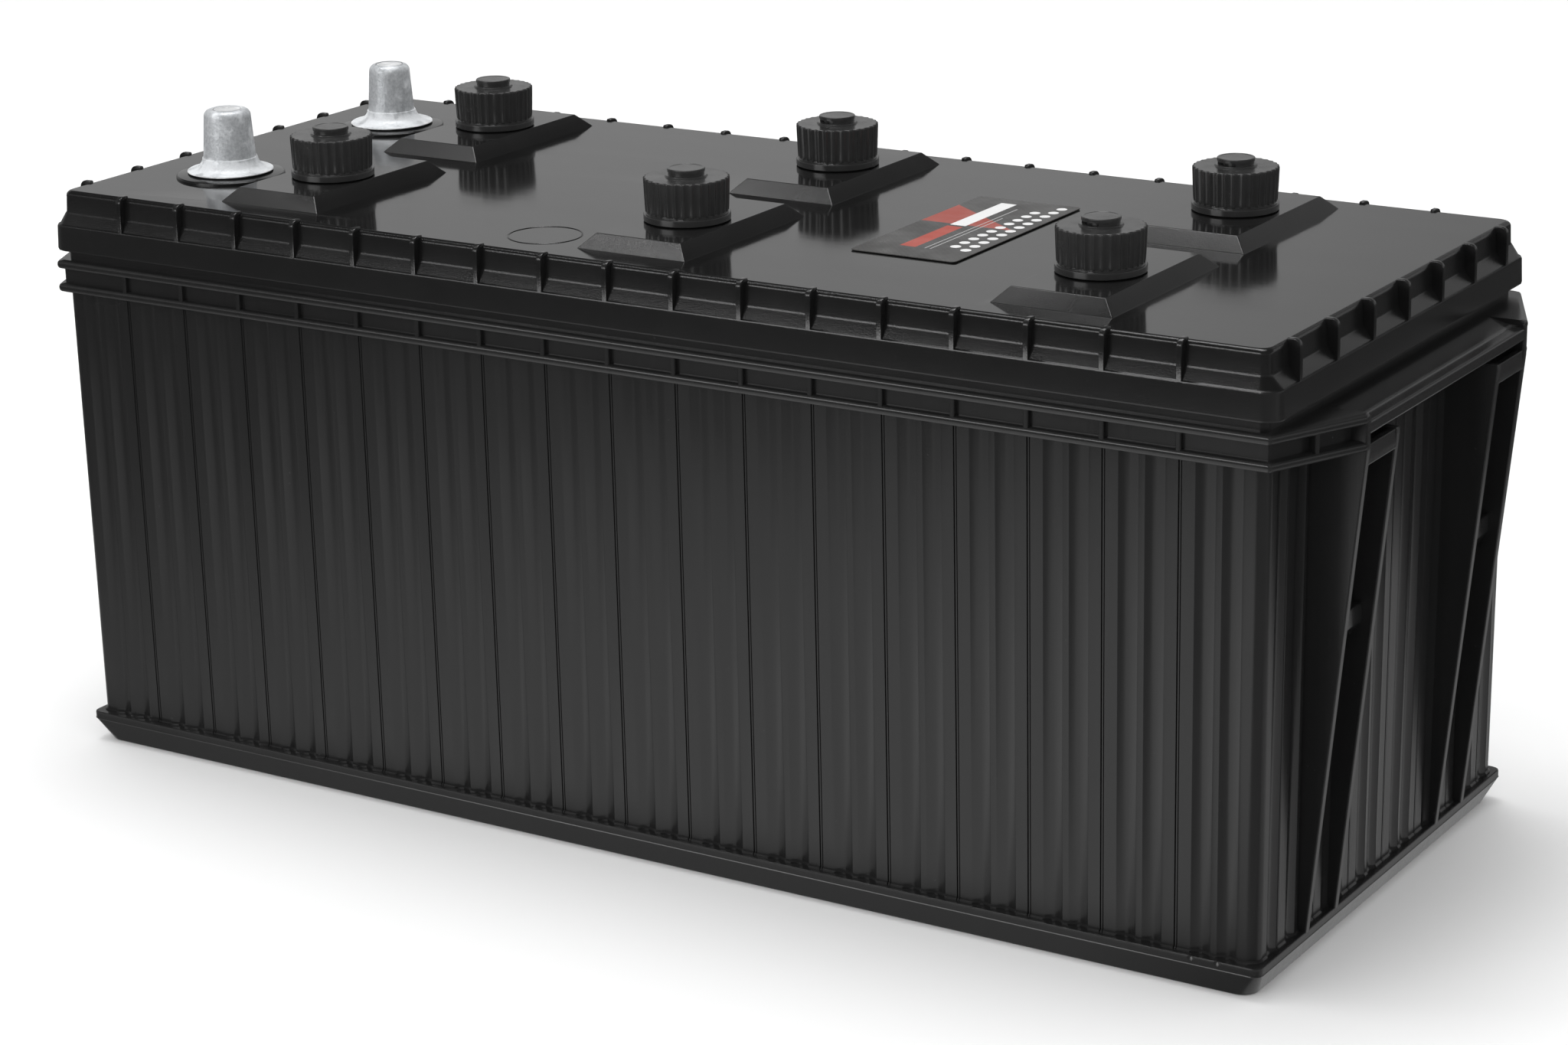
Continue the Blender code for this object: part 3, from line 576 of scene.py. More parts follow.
def rim_dents():
    """The cutters of the rim's dents: cones laid on their sides, each with its base outside the rim."""
    radius, depth = DENT
    outside = 0.3 * MM
    dents = []
    for x in RIM_DENTS:
        cone = turned("dent", [(0, -depth), (radius, outside), (0, outside)], 24)
        dent = moved(cone, x, -BASE_RIM[1], RIM_TOP - DENT_DROP)
        dent.rotation_euler = (pi / 2, 0, 0)
        dents.append(dent)
    return dents


def cell_hollows():
    """The six cell spaces, just wider than their separators and plates."""
    hollows = []
    for cell in CELLS:
        low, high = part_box(f"separator_pack_{cell}")
        group_low, group_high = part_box(f"negative_plates_{cell}")
        reach_x = (high.x - low.x) / 2 + CELL_GAP[0]
        reach_y = (group_high.y - group_low.y) / 2 + CELL_GAP[1]
        x, y = middle_of(f"separator_pack_{cell}")
        near = (x - reach_x, y - reach_y, FLOOR)
        hollows.append(block("cell", near, (x + reach_x, y + reach_y, CASE.z + MM)))
    for link in range(1, 6):
        low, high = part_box(f"intercell_connector_{link}")
        near = [side - LINK_GAP for side in low]
        hollows.append(block("passage", near, [side + LINK_GAP for side in high]))
    return hollows


def make_case(surface):
    case = base()
    sections = []
    for share, height in BEAD_STEPS:
        foot = (WALL_FOOT[0] + share * FOOT_BEAD, WALL_FOOT[1] + share * FOOT_BEAD)
        sections.append(level(patterned(foot), RIM_TOP + height))
    sections.append(level(patterned(WALL_TOP), FLANGE_LOW + MM))
    ear_core = eared(FLANGE_CORE, EAR - EAR_POCKET, OUTER_RIB[1] - EAR_POCKET / 4)
    pieces = [loft("walls", sections), prism("core", ear_core, *BETWEEN_RIBS)]
    pieces += [flange_rib("lower", FLANGE_LOW), flange_rib("upper", FLANGE_HIGH - FLANGE_RIB)]
    pieces.append(prism("neck", rounded(NECK, NECK_CORNER), FLANGE_LOW + 2 * MM, NECK_TOP))
    lip = rounded(shrunk(NECK, 3.5 * MM, 3.7 * MM), NECK_CORNER)
    pieces.append(prism("lip", lip, NECK_TOP - MM, CASE.z))
    unite(case, pieces + flange_webs() + end_structure(-1) + end_structure(1))
    cut(case, cell_hollows() + rim_dents())
    finish(cleaned(case), surface, CONTAINER, ["case"], 20)


# Cover


def cover_sections():
    """The outside of the cover, from the foot of the skirt to the flat top."""
    outlines = [
        (shrunk(SKIRT_FOOT, 0.6 * MM), COVER_FOOT),
        (shrunk(SKIRT_FOOT, 0.15 * MM), COVER_FOOT + 0.25 * MM),
        (SKIRT_FOOT, COVER_FOOT + 0.9 * MM),
        (SKIRT, SKIRT_HIGH - 0.9 * MM),
        (shrunk(SKIRT, 0.25 * MM, 0.2 * MM), SKIRT_HIGH - 0.25 * MM),
        (shrunk(SKIRT, 0.8 * MM), SKIRT_HIGH + 0.1 * MM),
    ]
    sections = [level(rounded(half, SKIRT_CORNER), height) for half, height in outlines]
    outlines = [
        ((BAND[0] + 0.5 * MM, BAND[1] + 0.9 * MM), BAND_LOW - 0.5 * MM),
        ((BAND[0] + 0.1 * MM, BAND[1] + 0.4 * MM), BAND_LOW + 0.4 * MM),
    ]
    for out, height in arc((-EDGE_ROUND, -EDGE_ROUND), EDGE_ROUND, 0, 90, 6):
        outlines.append(((BAND[0] + out, BAND[1] + out), COVER_TOP + height))
    return sections + [level(rounded(half, BAND_CORNER), height) for half, height in outlines]


def cover_rib_profile(half):
    """A rib of the cover's edge, as (outward, z): upright outside, then rounded over to a low crest."""
    top = COVER_TOP + RIB_RISE
    profile = [(half - 5.2 * MM, SKIRT_HIGH - MM), (half - 0.15 * MM, SKIRT_HIGH - MM)]
    profile += arc((half - 2.75 * MM, top - 2.6 * MM), 2.6 * MM, 0, 90, 7)
    profile += arc((half - 4.6 * MM, top - 0.6 * MM), 0.6 * MM, 90, 180, 3)
    return profile


def cover_ribs():
    ribs = []
    reach = RIB_THICK / 2
    for side in (-1, 1):
        for x in pattern(LONG_PITCH, LONG_COUNT):
            ribs.append(plate("rib", cover_rib_profile(SKIRT[1]), side, x - reach, x + reach, "x"))
        for y in pattern(END_PITCH, END_COUNT):
            ribs.append(plate("rib", cover_rib_profile(SKIRT[0]), side, y - reach, y + reach))
    return [bevelled(rib, 0.4 * MM, 2, 50) for rib in ribs]


def vent_pad(x, y):
    sections = [level(rectangle(*PAD), COVER_TOP - MM), level(rectangle(*PAD), COVER_TOP - 0.01 * MM)]
    sections.append(level(rectangle(*shrunk(PAD, PAD_HEIGHT)), COVER.z))
    return moved(bevelled(loft("pad", sections), 0.3 * MM), x, y)


def terminal_ring(x, y):
    """The raised ring round a terminal, which slopes down to a rounded rim."""
    profile = [(0, COVER_TOP - MM), (RING_RADIUS, COVER_TOP - MM), (RING_RADIUS, COVER_TOP + 0.3 * MM)]
    profile += arc((19.6 * MM, COVER_TOP + 0.35 * MM), 0.7 * MM, 0, 80, 6)
    profile += [(15.5 * MM, COVER_TOP + 1.6 * MM), (0, COVER_TOP + 1.6 * MM)]
    return moved(turned("ring", profile), x, y)


def mark_ring():
    """The fine raised circle that a moulding gate leaves on the top."""
    x, y, radius = MARK_RING
    profile = [(radius - 0.35 * MM, COVER_TOP - MM), (radius + 0.35 * MM, COVER_TOP - MM)]
    profile += [(radius + 0.35 * MM, COVER_TOP + 0.05 * MM), (radius, COVER_TOP + 0.22 * MM)]
    return moved(turned("gate", profile + [(radius - 0.35 * MM, COVER_TOP + 0.05 * MM)]), x, y)


def vent_hole(x, y):
    """The cutter of a vent hole: down through its well, with the gasket's recess round the mouth."""
    radius, depth = GASKET_RECESS
    profile = [(0, WELL_LOW - MM), (VENT_HOLE, WELL_LOW - MM), (VENT_HOLE, COVER.z - depth)]
    profile += [(radius, COVER.z - depth), (radius, COVER.z + MM), (0, COVER.z + MM)]
    return moved(turned("hole", profile), x, y)


def make_cover(surface):
    cover = loft("cover_shell", cover_sections())
    inside_half = shrunk(SKIRT, 2.6 * MM, 2.7 * MM)
    band_half = shrunk(BAND, 3.1 * MM)
    steps = [(inside_half, COVER_FOOT - MM), (inside_half, NECK_TOP + MM)]
    steps += [(band_half, NECK_TOP + 3 * MM), (band_half, CEILING)]
    inside = loft("inside", [level(rounded(half, NECK_CORNER), height) for half, height in steps])
    vents = [middle_of(f"vent_gasket_{cell}") for cell in CELLS]
    terminals = [middle_of("positive_terminal"), middle_of("negative_terminal")]
    pieces = cover_ribs() + [mark_ring()]
    pieces += [vent_pad(x, side * PAD_ROW) for x in PAD_COLUMNS for side in (-1, 1)]
    pieces += [terminal_ring(x, y) for x, y in terminals]
    unite(cover, pieces)
    cut(cover, [inside])
    unite(cover, [moved(column("well", WELL_RADIUS, WELL_LOW, COVER_TOP - MM), x, y) for x, y in vents])
    holes = [vent_hole(x, y) for x, y in vents]
    for x, y in terminals:
        holes.append(moved(column("hole", TERMINAL_HOLE, CEILING - MM, COVER_TOP + 3 * MM), x, y))
    cut(cover, holes)
    finish(cleaned(cover), surface, CONTAINER, ["cover"])


# Vent plugs


def plug_profile():
    """A plug from the roof of its hollow stem, out and up over its flange and grip to its button."""
    profile = [(0, BORE_ROOF), (STEM_BORE, BORE_ROOF), (STEM_BORE, STEM_LOW + 0.4 * MM)]
    profile += [(STEM_BORE + 0.4 * MM, STEM_LOW), (STEM - 0.5 * MM, STEM_LOW)]
    rows = int(8 * THREAD_LENGTH / THREAD_PITCH)
    profile += [(STEM, STEM_LOW + MM + THREAD_LENGTH * row / rows) for row in range(rows + 1)]
    profile += [(STEM, -1.8 * MM), (10.2 * MM, -1.4 * MM), (10.2 * MM, 0.3 * MM)]
    profile += arc((14.95 * MM, 0.6 * MM), 0.3 * MM, -90, 0, 3)
    profile += arc((14.85 * MM, 2.3 * MM), 0.4 * MM, 0, 90, 4)
    profile += in_mm((14.4, 2.72), (14.2, 2.9), (14.2, 3.3), (14.7, 3.5), (14.8, 4.5))
    profile += in_mm((15.0, 9.0), (15.2, 14.4))
    profile += arc((14.7 * MM, 14.9 * MM), 0.5 * MM, 0, 90, 5)
    profile += in_mm((7.5, 15.4)) + arc((7.0 * MM, 15.75 * MM), 0.25 * MM, 0, 90, 3)
    profile += in_mm((6.45, 16.05), (6.3, 16.15), (6.3, 17.1), (6.55, 17.15))
    profile += arc((6.3 * MM, 18.1 * MM), 0.3 * MM, 0, 90, 4)
    return profile + in_mm((5.7, 18.4), (5.55, 18.32), (0, 18.32))


def plug_radius(radius, height, angle):
    """Thread on the stem, flutes on the grip, and a notch under part of the button."""
    if THREAD_SPAN[0] < height < THREAD_SPAN[1] and radius > STEM - MM:
        phase = (height / THREAD_PITCH - angle / (2 * pi)) % 1.0
        return radius + THREAD_RISE * max(0.0, 1 - abs(2 * phase - 1) * 1.6)
    if height > FLUTE_LOW and radius > FLUTE_INSIDE:
        phase = (angle * FLUTES / (2 * pi)) % 1.0
        return radius - FLUTE_DEPTH * (1 - (2 * phase - 1) ** 2)
    if NOTCH_HEIGHTS[0] < height < NOTCH_HEIGHTS[1] and angle < NOTCH_SPAN:
        return radius - NOTCH_DEPTH
    return radius


def make_plugs(surface):
    plug = turned("plug", plug_profile(), FLUTES * FLUTE_POINTS, plug_radius)
    for cell, turn in zip(CELLS, PLUG_TURNS):
        x, y = middle_of(f"vent_gasket_{cell}")
        copy = moved(linked(f"vent_cap_{cell}", plug.data.copy()), x, y, COVER.z, radians(turn))
        finish(settle(copy), surface, f"vent_cap_{cell}", [f"vent_plug_{cell}"], 26)
    bpy.data.objects.remove(plug)


def make_gaskets(surface):
    for cell in CELLS:
        node = f"vent_gasket_{cell}"
        low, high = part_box(node)
        radius = (high.x - low.x) / 2
        half = (high.z - low.z) / 2
        middle = (low.z + high.z) / 2
        profile = arc((radius - half, middle), half, -90, 90, 6)
        profile += arc((GASKET_BORE + half, middle), half, 90, 270, 6)
        ring = moved(turned(f"gasket_ring_{cell}", profile), *middle_of(node))
        finish(settle(ring), surface, f"vent_seal_{cell}", [node])


# Terminals


def hollow_curve(start, control, end, steps=8):
    """Points of a smooth hollow curve between start and end, pulled towards control."""
    points = []
    for step in range(steps + 1):
        share = step / steps
        first = Vector(start).lerp(Vector(control), share)
        second = Vector(control).lerp(Vector(end), share)
        points.append(tuple(first.lerp(second, share)))
    return points


def lumpy(radius, height, angle):
    """The uneven, hand-melted look of the flared foot: three waves round it, two of which slant."""
    if not LUMP_HEIGHTS[0] < height < LUMP_HEIGHTS[1] or radius < LUMP_INSIDE:
        return radius
    wave = sin(3 * angle + 900 * height) + 0.7 * sin(5 * angle - 1.3) + 0.5 * sin(11 * angle + 1400 * height)
    return radius + LUMP * wave


def make_terminal(side, surface):
    """A cast lead post with a rounded shoulder and a lumpy flared foot, and the riser inside it."""
    node = f"{side}_terminal"
    low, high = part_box(node)
    x, y = middle_of(node)
    foot = POST_FOOT[side]
    top = foot - MM
    profile = [(POST_BORE, low.z), (POST_STEM, low.z), (POST_STEM, SEAT)]
    profile += arc((15.75 * MM, SEAT + 0.3 * MM), 0.3 * MM, -90, 60, 4)
    profile += [(14.8 * MM, SEAT + 0.72 * MM), (13.7 * MM, SEAT + 0.9 * MM)]
    flare_end = (foot + 0.5 * MM, SEAT + 5.1 * MM)
    profile += hollow_curve((13.1 * MM, SEAT + 1.2 * MM), (foot + 1.2 * MM, SEAT + 2.0 * MM), flare_end)
    profile += [(foot + 0.1 * MM, SEAT + 5.3 * MM), (foot, SEAT + 5.7 * MM)]
    profile += arc((top - SHOULDER, high.z - SHOULDER), SHOULDER, 0, 90, 10)
    profile += [(5.9 * MM, high.z), (5.7 * MM, high.z - 0.12 * MM), (POST_BORE, high.z - 0.12 * MM)]
    post = moved(turned(f"{side}_post_casting", profile, ROUND, lumpy), x, y)
    finish(settle(post), surface, CONTAINER, [node])
    riser_low, riser_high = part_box(f"{side}_post")
    foot_high = riser_low.z + RISER_FOOT
    riser = moved(column(f"{side}_riser", RISER, foot_high - MM, high.z - 0.1 * MM), x, y)
    near = (riser_low.x, riser_low.y, riser_low.z)
    unite(settle(riser), [bevelled(block("foot", near, (riser_high.x, riser_high.y, foot_high)), 0.8 * MM)])
    finish(riser, surface, CONTAINER, [f"{side}_post"])


# Label


def make_label(surface):
    low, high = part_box("label")
    half = ((high.x - low.x) / 2, (high.y - low.y) / 2)
    edge = 0.06 * MM
    corner = 1.6 * MM
    outer = rounded(half, corner, 6)
    inner = rounded(shrunk(half, edge), corner, 6)
    label = loft("label_film", [level(outer, low.z), level(outer, high.z - edge), level(inner, high.z)])
    finish(settle(moved(label, *middle_of("label"))), surface, CONTAINER, ["label"])


# Materials, with scales in features per metre


class Nodes:
    """A material's node tree, built one node at a time."""

    def __init__(self, name, owners=None):
        self.material = (bpy.data.materials if owners is None else owners).new(name)
        self.material.use_nodes = True
        self.tree = self.material.node_tree
        self.shader = self.tree.nodes.get("Principled BSDF")
        self.place = self.add("ShaderNodeTexCoord").outputs["Object"]

    def add(self, kind, settings=None, **values):
        node = self.tree.nodes.new(kind)
        for key, value in (settings or {}).items():
            setattr(node, key, value)
        for key, value in values.items():
            self.put(node.inputs[key.replace("_", " ")], value)
        return node

    def put(self, socket, value):
        if isinstance(value, bpy.types.NodeSocket):
            self.tree.links.new(value, socket)
        else:
            socket.default_value = value

    def math(self, operation, *values):
        node = self.add("ShaderNodeMath", {"operation": operation})
        for socket, value in zip(node.inputs, values):
            self.put(socket, value)
        return node.outputs[0]

    def times(self, first, second):
        return self.math("MULTIPLY", first, second)

    def plus(self, first, second):
        return self.math("ADD", first, second)

    def minus(self, first, second):
        return self.math("SUBTRACT", first, second)

    def split(self, vector):
        return self.add("ShaderNodeSeparateXYZ", Vector=vector).outputs

    def surface(self, name):
        return self.add("ShaderNodeNewGeometry").outputs[name]

    def stretched(self, x, y, z):
        node = self.add("ShaderNodeMapping", Vector=self.place)
        node.inputs["Scale"].default_value = (x, y, z)
        return node.outputs[0]

    def noise(self, scale, detail, roughness=0.5, vector=None):
        place = vector or self.place
        node = self.add("ShaderNodeTexNoise", Vector=place, Scale=scale, Detail=detail, Roughness=roughness)
        return node.outputs["Fac"]

    def spots(self, scale, low, high):
        """1 inside scattered round spots and 0 outside."""
        node = self.add("ShaderNodeTexVoronoi", Vector=self.place, Scale=scale)
        return self.ramp(node.outputs["Distance"], low, high, 1.0, 0.0)

    def ramp(self, value, low, high, start=0.0, end=1.0, kind="LINEAR"):
        """start up to low, end from high on, and a ramp between."""
        node = self.add("ShaderNodeMapRange", {"interpolation_type": kind}, Value=value)
        for key, amount in (("From Min", low), ("From Max", high), ("To Min", start), ("To Max", end)):
            self.put(node.inputs[key], amount)
        return node.outputs[0]

    def smooth(self, value, low, high, start=0.0, end=1.0):
        """The same with a smooth step between."""
        return self.ramp(value, low, high, start, end, "SMOOTHSTEP")

    def window(self, value, start, end, soft):
        """1 between start and end, falling smoothly to 0 over soft on either side."""
        rise = self.smooth(value, start - soft, start)
        return self.times(rise, self.smooth(value, end, end + soft, 1.0, 0.0))

    def mix(self, factor, first, second):
        node = self.add("ShaderNodeMix", {"data_type": "RGBA"})
        for index, value in ((0, factor), (6, first), (7, second)):
            self.put(node.inputs[index], value)
        return node.outputs[2]

    def edges(self, low, high):
        """1 on worn edges, 0 on flat faces."""
        return self.ramp(self.surface("Pointiness"), low, high)

    def aged(self, body, worn, dust, amount, tone):
        """A plastic's colour with paler worn edges and an amount of dust of the given grey tone."""
        body = self.mix(self.times(worn, 0.25), body, grey(0.10))
        return self.mix(self.times(dust, amount), body, grey(tone))

    def bump(self, height, strength, distance, **below):
        node = self.add("ShaderNodeBump", Height=height, Strength=strength, Distance=distance, **below)
        return node.outputs[0]

    def end(self, colour, rough, **others):
        for key, value in {"Base Color": colour, "Roughness": rough, **others}.items():
            self.put(self.shader.inputs[key], value)
        return self.material


def grey(tone, tint=0.0):
    return (tone * (1 + tint), tone, tone * (1 - tint), 1.0)


def case_plastic():
    """Satin black polypropylene with fine drag lines down the walls, scuffs and a little dust."""
    made = Nodes("case_plastic")
    drag = made.noise(1.0, 2.0, 0.6, made.stretched(900, 900, 14))
    cloud = made.noise(22, 4.0)
    dust = made.times(made.spots(260, 0.02, 0.06), made.ramp(made.noise(60, 2.0), 0.55, 0.7))
    worn = made.edges(0.52, 0.60)
    shade = made.plus(made.ramp(cloud, 0.3, 0.7, 0.85, 1.15), made.ramp(drag, 0.3, 0.7, -0.08, 0.08))
    body = made.mix(shade, grey(0.005), grey(0.0105))
    colour = made.aged(body, worn, dust, 0.4, 0.16)
    rough = made.ramp(made.plus(cloud, drag), 0.7, 1.3, 0.17, 0.26)
    height = made.plus(made.times(drag, 0.6), made.noise(1400, 2.0))
    return made.end(colour, rough, Normal=made.bump(height, 0.2, 0.00006))


def cover_plastic():
    """Glossy black polypropylene: faint flow marks on the flat top, a fine grain on every sloped face."""
    made = Nodes("cover_plastic")
    sloped = made.ramp(made.math("ABSOLUTE", made.split(made.surface("Normal"))["Z"]), 0.99, 0.93)
    flow = made.noise(1.0, 4.0, 0.55, made.stretched(9, 34, 9))
    grain = made.noise(2600, 2.0, 0.6)
    smear = made.noise(40, 5.0, 0.6)
    dust = made.times(made.spots(330, 0.02, 0.05), made.ramp(made.noise(35, 2.0), 0.52, 0.68))
    worn = made.edges(0.53, 0.62)
    body = made.mix(smear, grey(0.004), grey(0.009))
    colour = made.aged(body, worn, dust, 0.3, 0.16)
    top_rough = made.ramp(made.plus(flow, made.times(smear, 0.4)), 0.45, 0.95, 0.07, 0.13)
    rough = made.plus(top_rough, made.times(sloped, 0.07))
    coarse = made.bump(made.times(grain, made.plus(0.04, sloped)), 0.35, 0.00012)
    return made.end(colour, rough, Normal=made.bump(flow, 0.12, 0.0006, Normal=coarse))


def plug_plastic():
    """Glossy black plastic of the plugs, lightly scuffed and dusty in the flutes."""
    made = Nodes("plug_plastic")
    smear = made.noise(120, 5.0, 0.65)
    grit = made.times(made.spots(700, 0.03, 0.10), made.ramp(made.noise(150, 2.0), 0.5, 0.65))
    worn = made.edges(0.54, 0.66)
    body = made.mix(smear, grey(0.015), grey(0.034))
    colour = made.aged(body, worn, grit, 0.3, 0.18)
    rough = made.ramp(smear, 0.3, 0.7, 0.14, 0.28)
    return made.end(colour, rough, Normal=made.bump(smear, 0.3, 0.0001))


def gasket_rubber():
    """Matt black rubber with a pale bloom."""
    made = Nodes("gasket_rubber")
    bloom = made.noise(300, 4.0)
    colour = made.mix(bloom, grey(0.010), grey(0.035))
    return made.end(colour, 0.7, Normal=made.bump(bloom, 0.4, 0.0001))


def cast_lead():
    """Dull cast lead with pale oxide in patches, upright drag marks and bright rubbed edges."""
    made = Nodes("cast_lead")
    patch = made.noise(150, 6.0, 0.62)
    fine = made.noise(900, 4.0, 0.6)
    drag = made.noise(1.0, 3.0, 0.6, made.stretched(1100, 1100, 160))
    low_down = made.ramp(made.split(made.place)["Z"], COVER_TOP + 9 * MM, COVER_TOP + 5 * MM)
    pale = made.ramp(made.plus(patch, made.times(low_down, 0.16)), 0.50, 0.66)
    worn = made.edges(0.52, 0.58)
    metal = made.mix(made.ramp(fine, 0.3, 0.7), (0.50, 0.52, 0.54, 1.0), (0.72, 0.74, 0.76, 1.0))
    colour = made.mix(made.times(pale, 0.75), metal, (0.80, 0.82, 0.84, 1.0))
    colour = made.mix(made.times(worn, 0.6), colour, (0.90, 0.90, 0.90, 1.0))
    metallic = made.ramp(pale, 0.0, 1.0, 0.50, 0.20)
    rough = made.plus(made.ramp(patch, 0.35, 0.7, 0.34, 0.58), made.times(worn, -0.12))
    bumps = made.plus(made.times(patch, 1.4), made.plus(fine, drag))
    return made.end(colour, rough, Metallic=metallic, Normal=made.bump(bumps, 0.5, 0.00025))


# Label print, its mesh in radians per metre
MESH_WAVES = 2600.0
DOT_RADIUS = 1.9 * MM
WEDGE_RED = (0.30, 0.035, 0.018, 1.0)
BAR_RED = (0.36, 0.04, 0.02, 1.0)


def label_film():
    """A printed film, blank of words: a red wedge, bars, thin lines, two rows of dots and a faint mesh.

    Places are shares of the label, along its long side (Y) and across it (X).
    """
    made = Nodes("label_film")
    low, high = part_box("label")
    x, y, _ = made.split(made.place)
    across = made.math("DIVIDE", made.minus(x, low.x), high.x - low.x)
    along = made.math("DIVIDE", made.minus(y, low.y), high.y - low.y)

    def inside(value, start, end, soft=0.002):
        rise = made.ramp(value, start - soft, start + soft)
        return made.times(rise, made.ramp(value, end - soft, end + soft, 1.0, 0.0))

    def bar_mask(start, end, near, far):
        return made.times(inside(along, start, end), inside(across, near, far, 0.004))

    def dots(middle, start, end, pitch=0.069):
        count = made.math("DIVIDE", made.minus(along, start), pitch)
        off = made.minus(made.math("FRACT", count), 0.5)
        off = made.times(off, pitch * (high.y - low.y))
        rise = made.times(made.minus(across, middle), high.x - low.x)
        squares = [made.math("POWER", side, 2.0) for side in (off, rise)]
        distance = made.math("SQRT", made.plus(*squares))
        disc = made.ramp(distance, DOT_RADIUS - 0.1 * MM, DOT_RADIUS + 0.1 * MM, 1.0, 0.0)
        return made.times(disc, inside(along, start, end))

    slants = (made.plus(x, y), made.minus(x, y))
    waves = [made.math("SINE", made.times(slant, MESH_WAVES)) for slant in slants]
    mesh = made.ramp(made.math("MAXIMUM", *waves), 0.80, 0.98)
    colour = made.mix(made.times(mesh, 0.5), grey(0.034, 0.03), grey(0.075, 0.03))
    slant = made.plus(along, made.times(across, 0.33))
    wedge = made.times(inside(along, 0.535, 1.0), made.ramp(slant, 0.826, 0.832, 1.0, 0.0))
    colour = made.mix(wedge, colour, WEDGE_RED)
    white = grey(0.72)
    prints = [
        (bar_mask(0.14, 0.50, 0.30, 0.45), BAR_RED),
        (bar_mask(0.52, 0.93, 0.30, 0.45), white),
        (bar_mask(0.14, 0.86, 0.535, 0.545), grey(0.40)),
        (bar_mask(0.14, 0.70, 0.585, 0.595), grey(0.40)),
        (dots(0.74, 0.18, 0.87), white),
        (dots(0.88, 0.145, 0.973), white),
    ]
    for mask, paint in prints:
        colour = made.mix(mask, colour, paint)
    haze = made.noise(90, 4.0)
    rough = made.ramp(haze, 0.3, 0.7, 0.26, 0.38)
    return made.end(colour, rough, Normal=made.bump(haze, 0.1, 0.0001))


def paste(name, dark, light):
    """Battery paste pressed into a cast grid, whose bars show as fine lines."""
    made = Nodes(name)
    bars = made.add("ShaderNodeTexBrick", Vector=made.place, Scale=120.0, Mortar_Size=0.04)
    grain = made.noise(700, 5.0, 0.65)
    colour = made.mix(grain, (*dark, 1.0), (*light, 1.0))
    colour = made.mix(made.times(bars.outputs["Fac"], 0.35), colour, (0.32, 0.33, 0.34, 1.0))
    bumps = made.plus(grain, bars.outputs["Fac"])
    return made.end(colour, 0.85, Normal=made.bump(bumps, 0.5, 0.0003))


def separator_sheet():
    """Off-white porous sheet with fine upright ribs."""
    made = Nodes("separator_sheet")
    ribs = made.noise(1.0, 1.0, 0.5, made.stretched(420, 1, 1))
    pores = made.noise(1800, 3.0)
    colour = made.mix(pores, (0.46, 0.45, 0.41, 1.0), (0.62, 0.61, 0.57, 1.0))
    bumps = made.plus(ribs, made.times(pores, 0.3))
    return made.end(colour, 0.8, Normal=made.bump(bumps, 0.5, 0.0003))


def dress_inside(lead):
    """Materials for the pieces inside the cells, which keep their own shape."""
    surfaces = {
        "positive_plates": paste("positive_paste", (0.070, 0.036, 0.022), (0.130, 0.072, 0.050)),
        "negative_plates": paste("negative_paste", (0.17, 0.18, 0.185), (0.27, 0.28, 0.29)),
        "separator_pack": separator_sheet(),
        "intercell_connector": lead,
    }
    for name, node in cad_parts.items():
        for start, surface in surfaces.items():
            if name.startswith(start):
                node.data.materials.clear()
                node.data.materials.append(surface)


# Stage: reflections see the studio of these values, and other rays see plain white

# Windows (start, end, softness), by turn round Z for the backdrop and its card, and by height for both
BEHIND = (radians(100), radians(200), radians(24))
CARD = (radians(-151), radians(-137), radians(10))
BACKDROP = (-0.02, 0.36, 0.07)
# Ramps (low, high and what they give there): the glow overhead, the bright patch of floor by x and by y,
# with a painted contact shadow where the patch dims next to the case front, and how the rest of the floor
# fades away from the case and in front of it
OVERHEAD = (0.36, 0.44, 0.22, 0.05)
PATCH_LEFT = (-0.62, 0.06, 0.0, 0.80)
PATCH_RIGHT = (0.17, 0.26, 1.0, 0.15)
PATCH_FRONT = (-0.67, -0.54)
# The patch dims to 0.3 right against the case front: a painted contact shadow in what reflections see of the
# floor
PATCH_CONTACT_SHADOW = (-0.112, -0.150, 0.3, 1.0)
FADE = (0.22, 0.34)
FADED = (0.1, -0.1, 0.1, 0.7)
# Sweep: front, back, half width, radius of the sweep and height of the wall
SWEEP = (-6.0, 5.0, 9.0, 2.0, 7.0)
# Lights: name, place, target, size and power
MIDDLE = (0, 0, COVER_TOP / 2)
LIGHTS = [
    ("key", (-1.08, -0.55, 1.83), (0.01, -0.085, COVER_TOP), (0.22, 0.22), 1.2),
    ("strip", (-0.80, -2.05, 0.72), MIDDLE, (1.3, 0.5), 9),
    ("overhead", (-0.4, 0.2, 2.6), MIDDLE, (1.6, 1.2), 30),
]
# Camera of the reference view, with its azimuth, elevation and roll in degrees
CAMERA_PLACE = (0.7182, -1.1291, 0.5202)
CAMERA_TURN = (32.26, 17.58, -1.14)
LENS = 87.6
SENSOR = 36.0


def glow(made, direction):
    """What a reflection sees of the studio, by its direction: a pale band low down behind, a dim floor."""
    x, y, z = made.split(direction)
    turn = made.math("ARCTAN2", x, made.times(y, -1.0))
    behind = made.window(made.math("ABSOLUTE", turn), *BEHIND)
    card = made.window(turn, *CARD)
    band = made.plus(made.times(behind, 0.20), made.times(card, 0.14))
    high = made.plus(made.times(band, made.window(z, *BACKDROP)), made.smooth(z, *OVERHEAD))
    low = made.plus(0.10, made.times(behind, 0.30))
    above = made.ramp(z, -0.04, 0.02)
    return made.ramp(above, 0, 1, low, high)


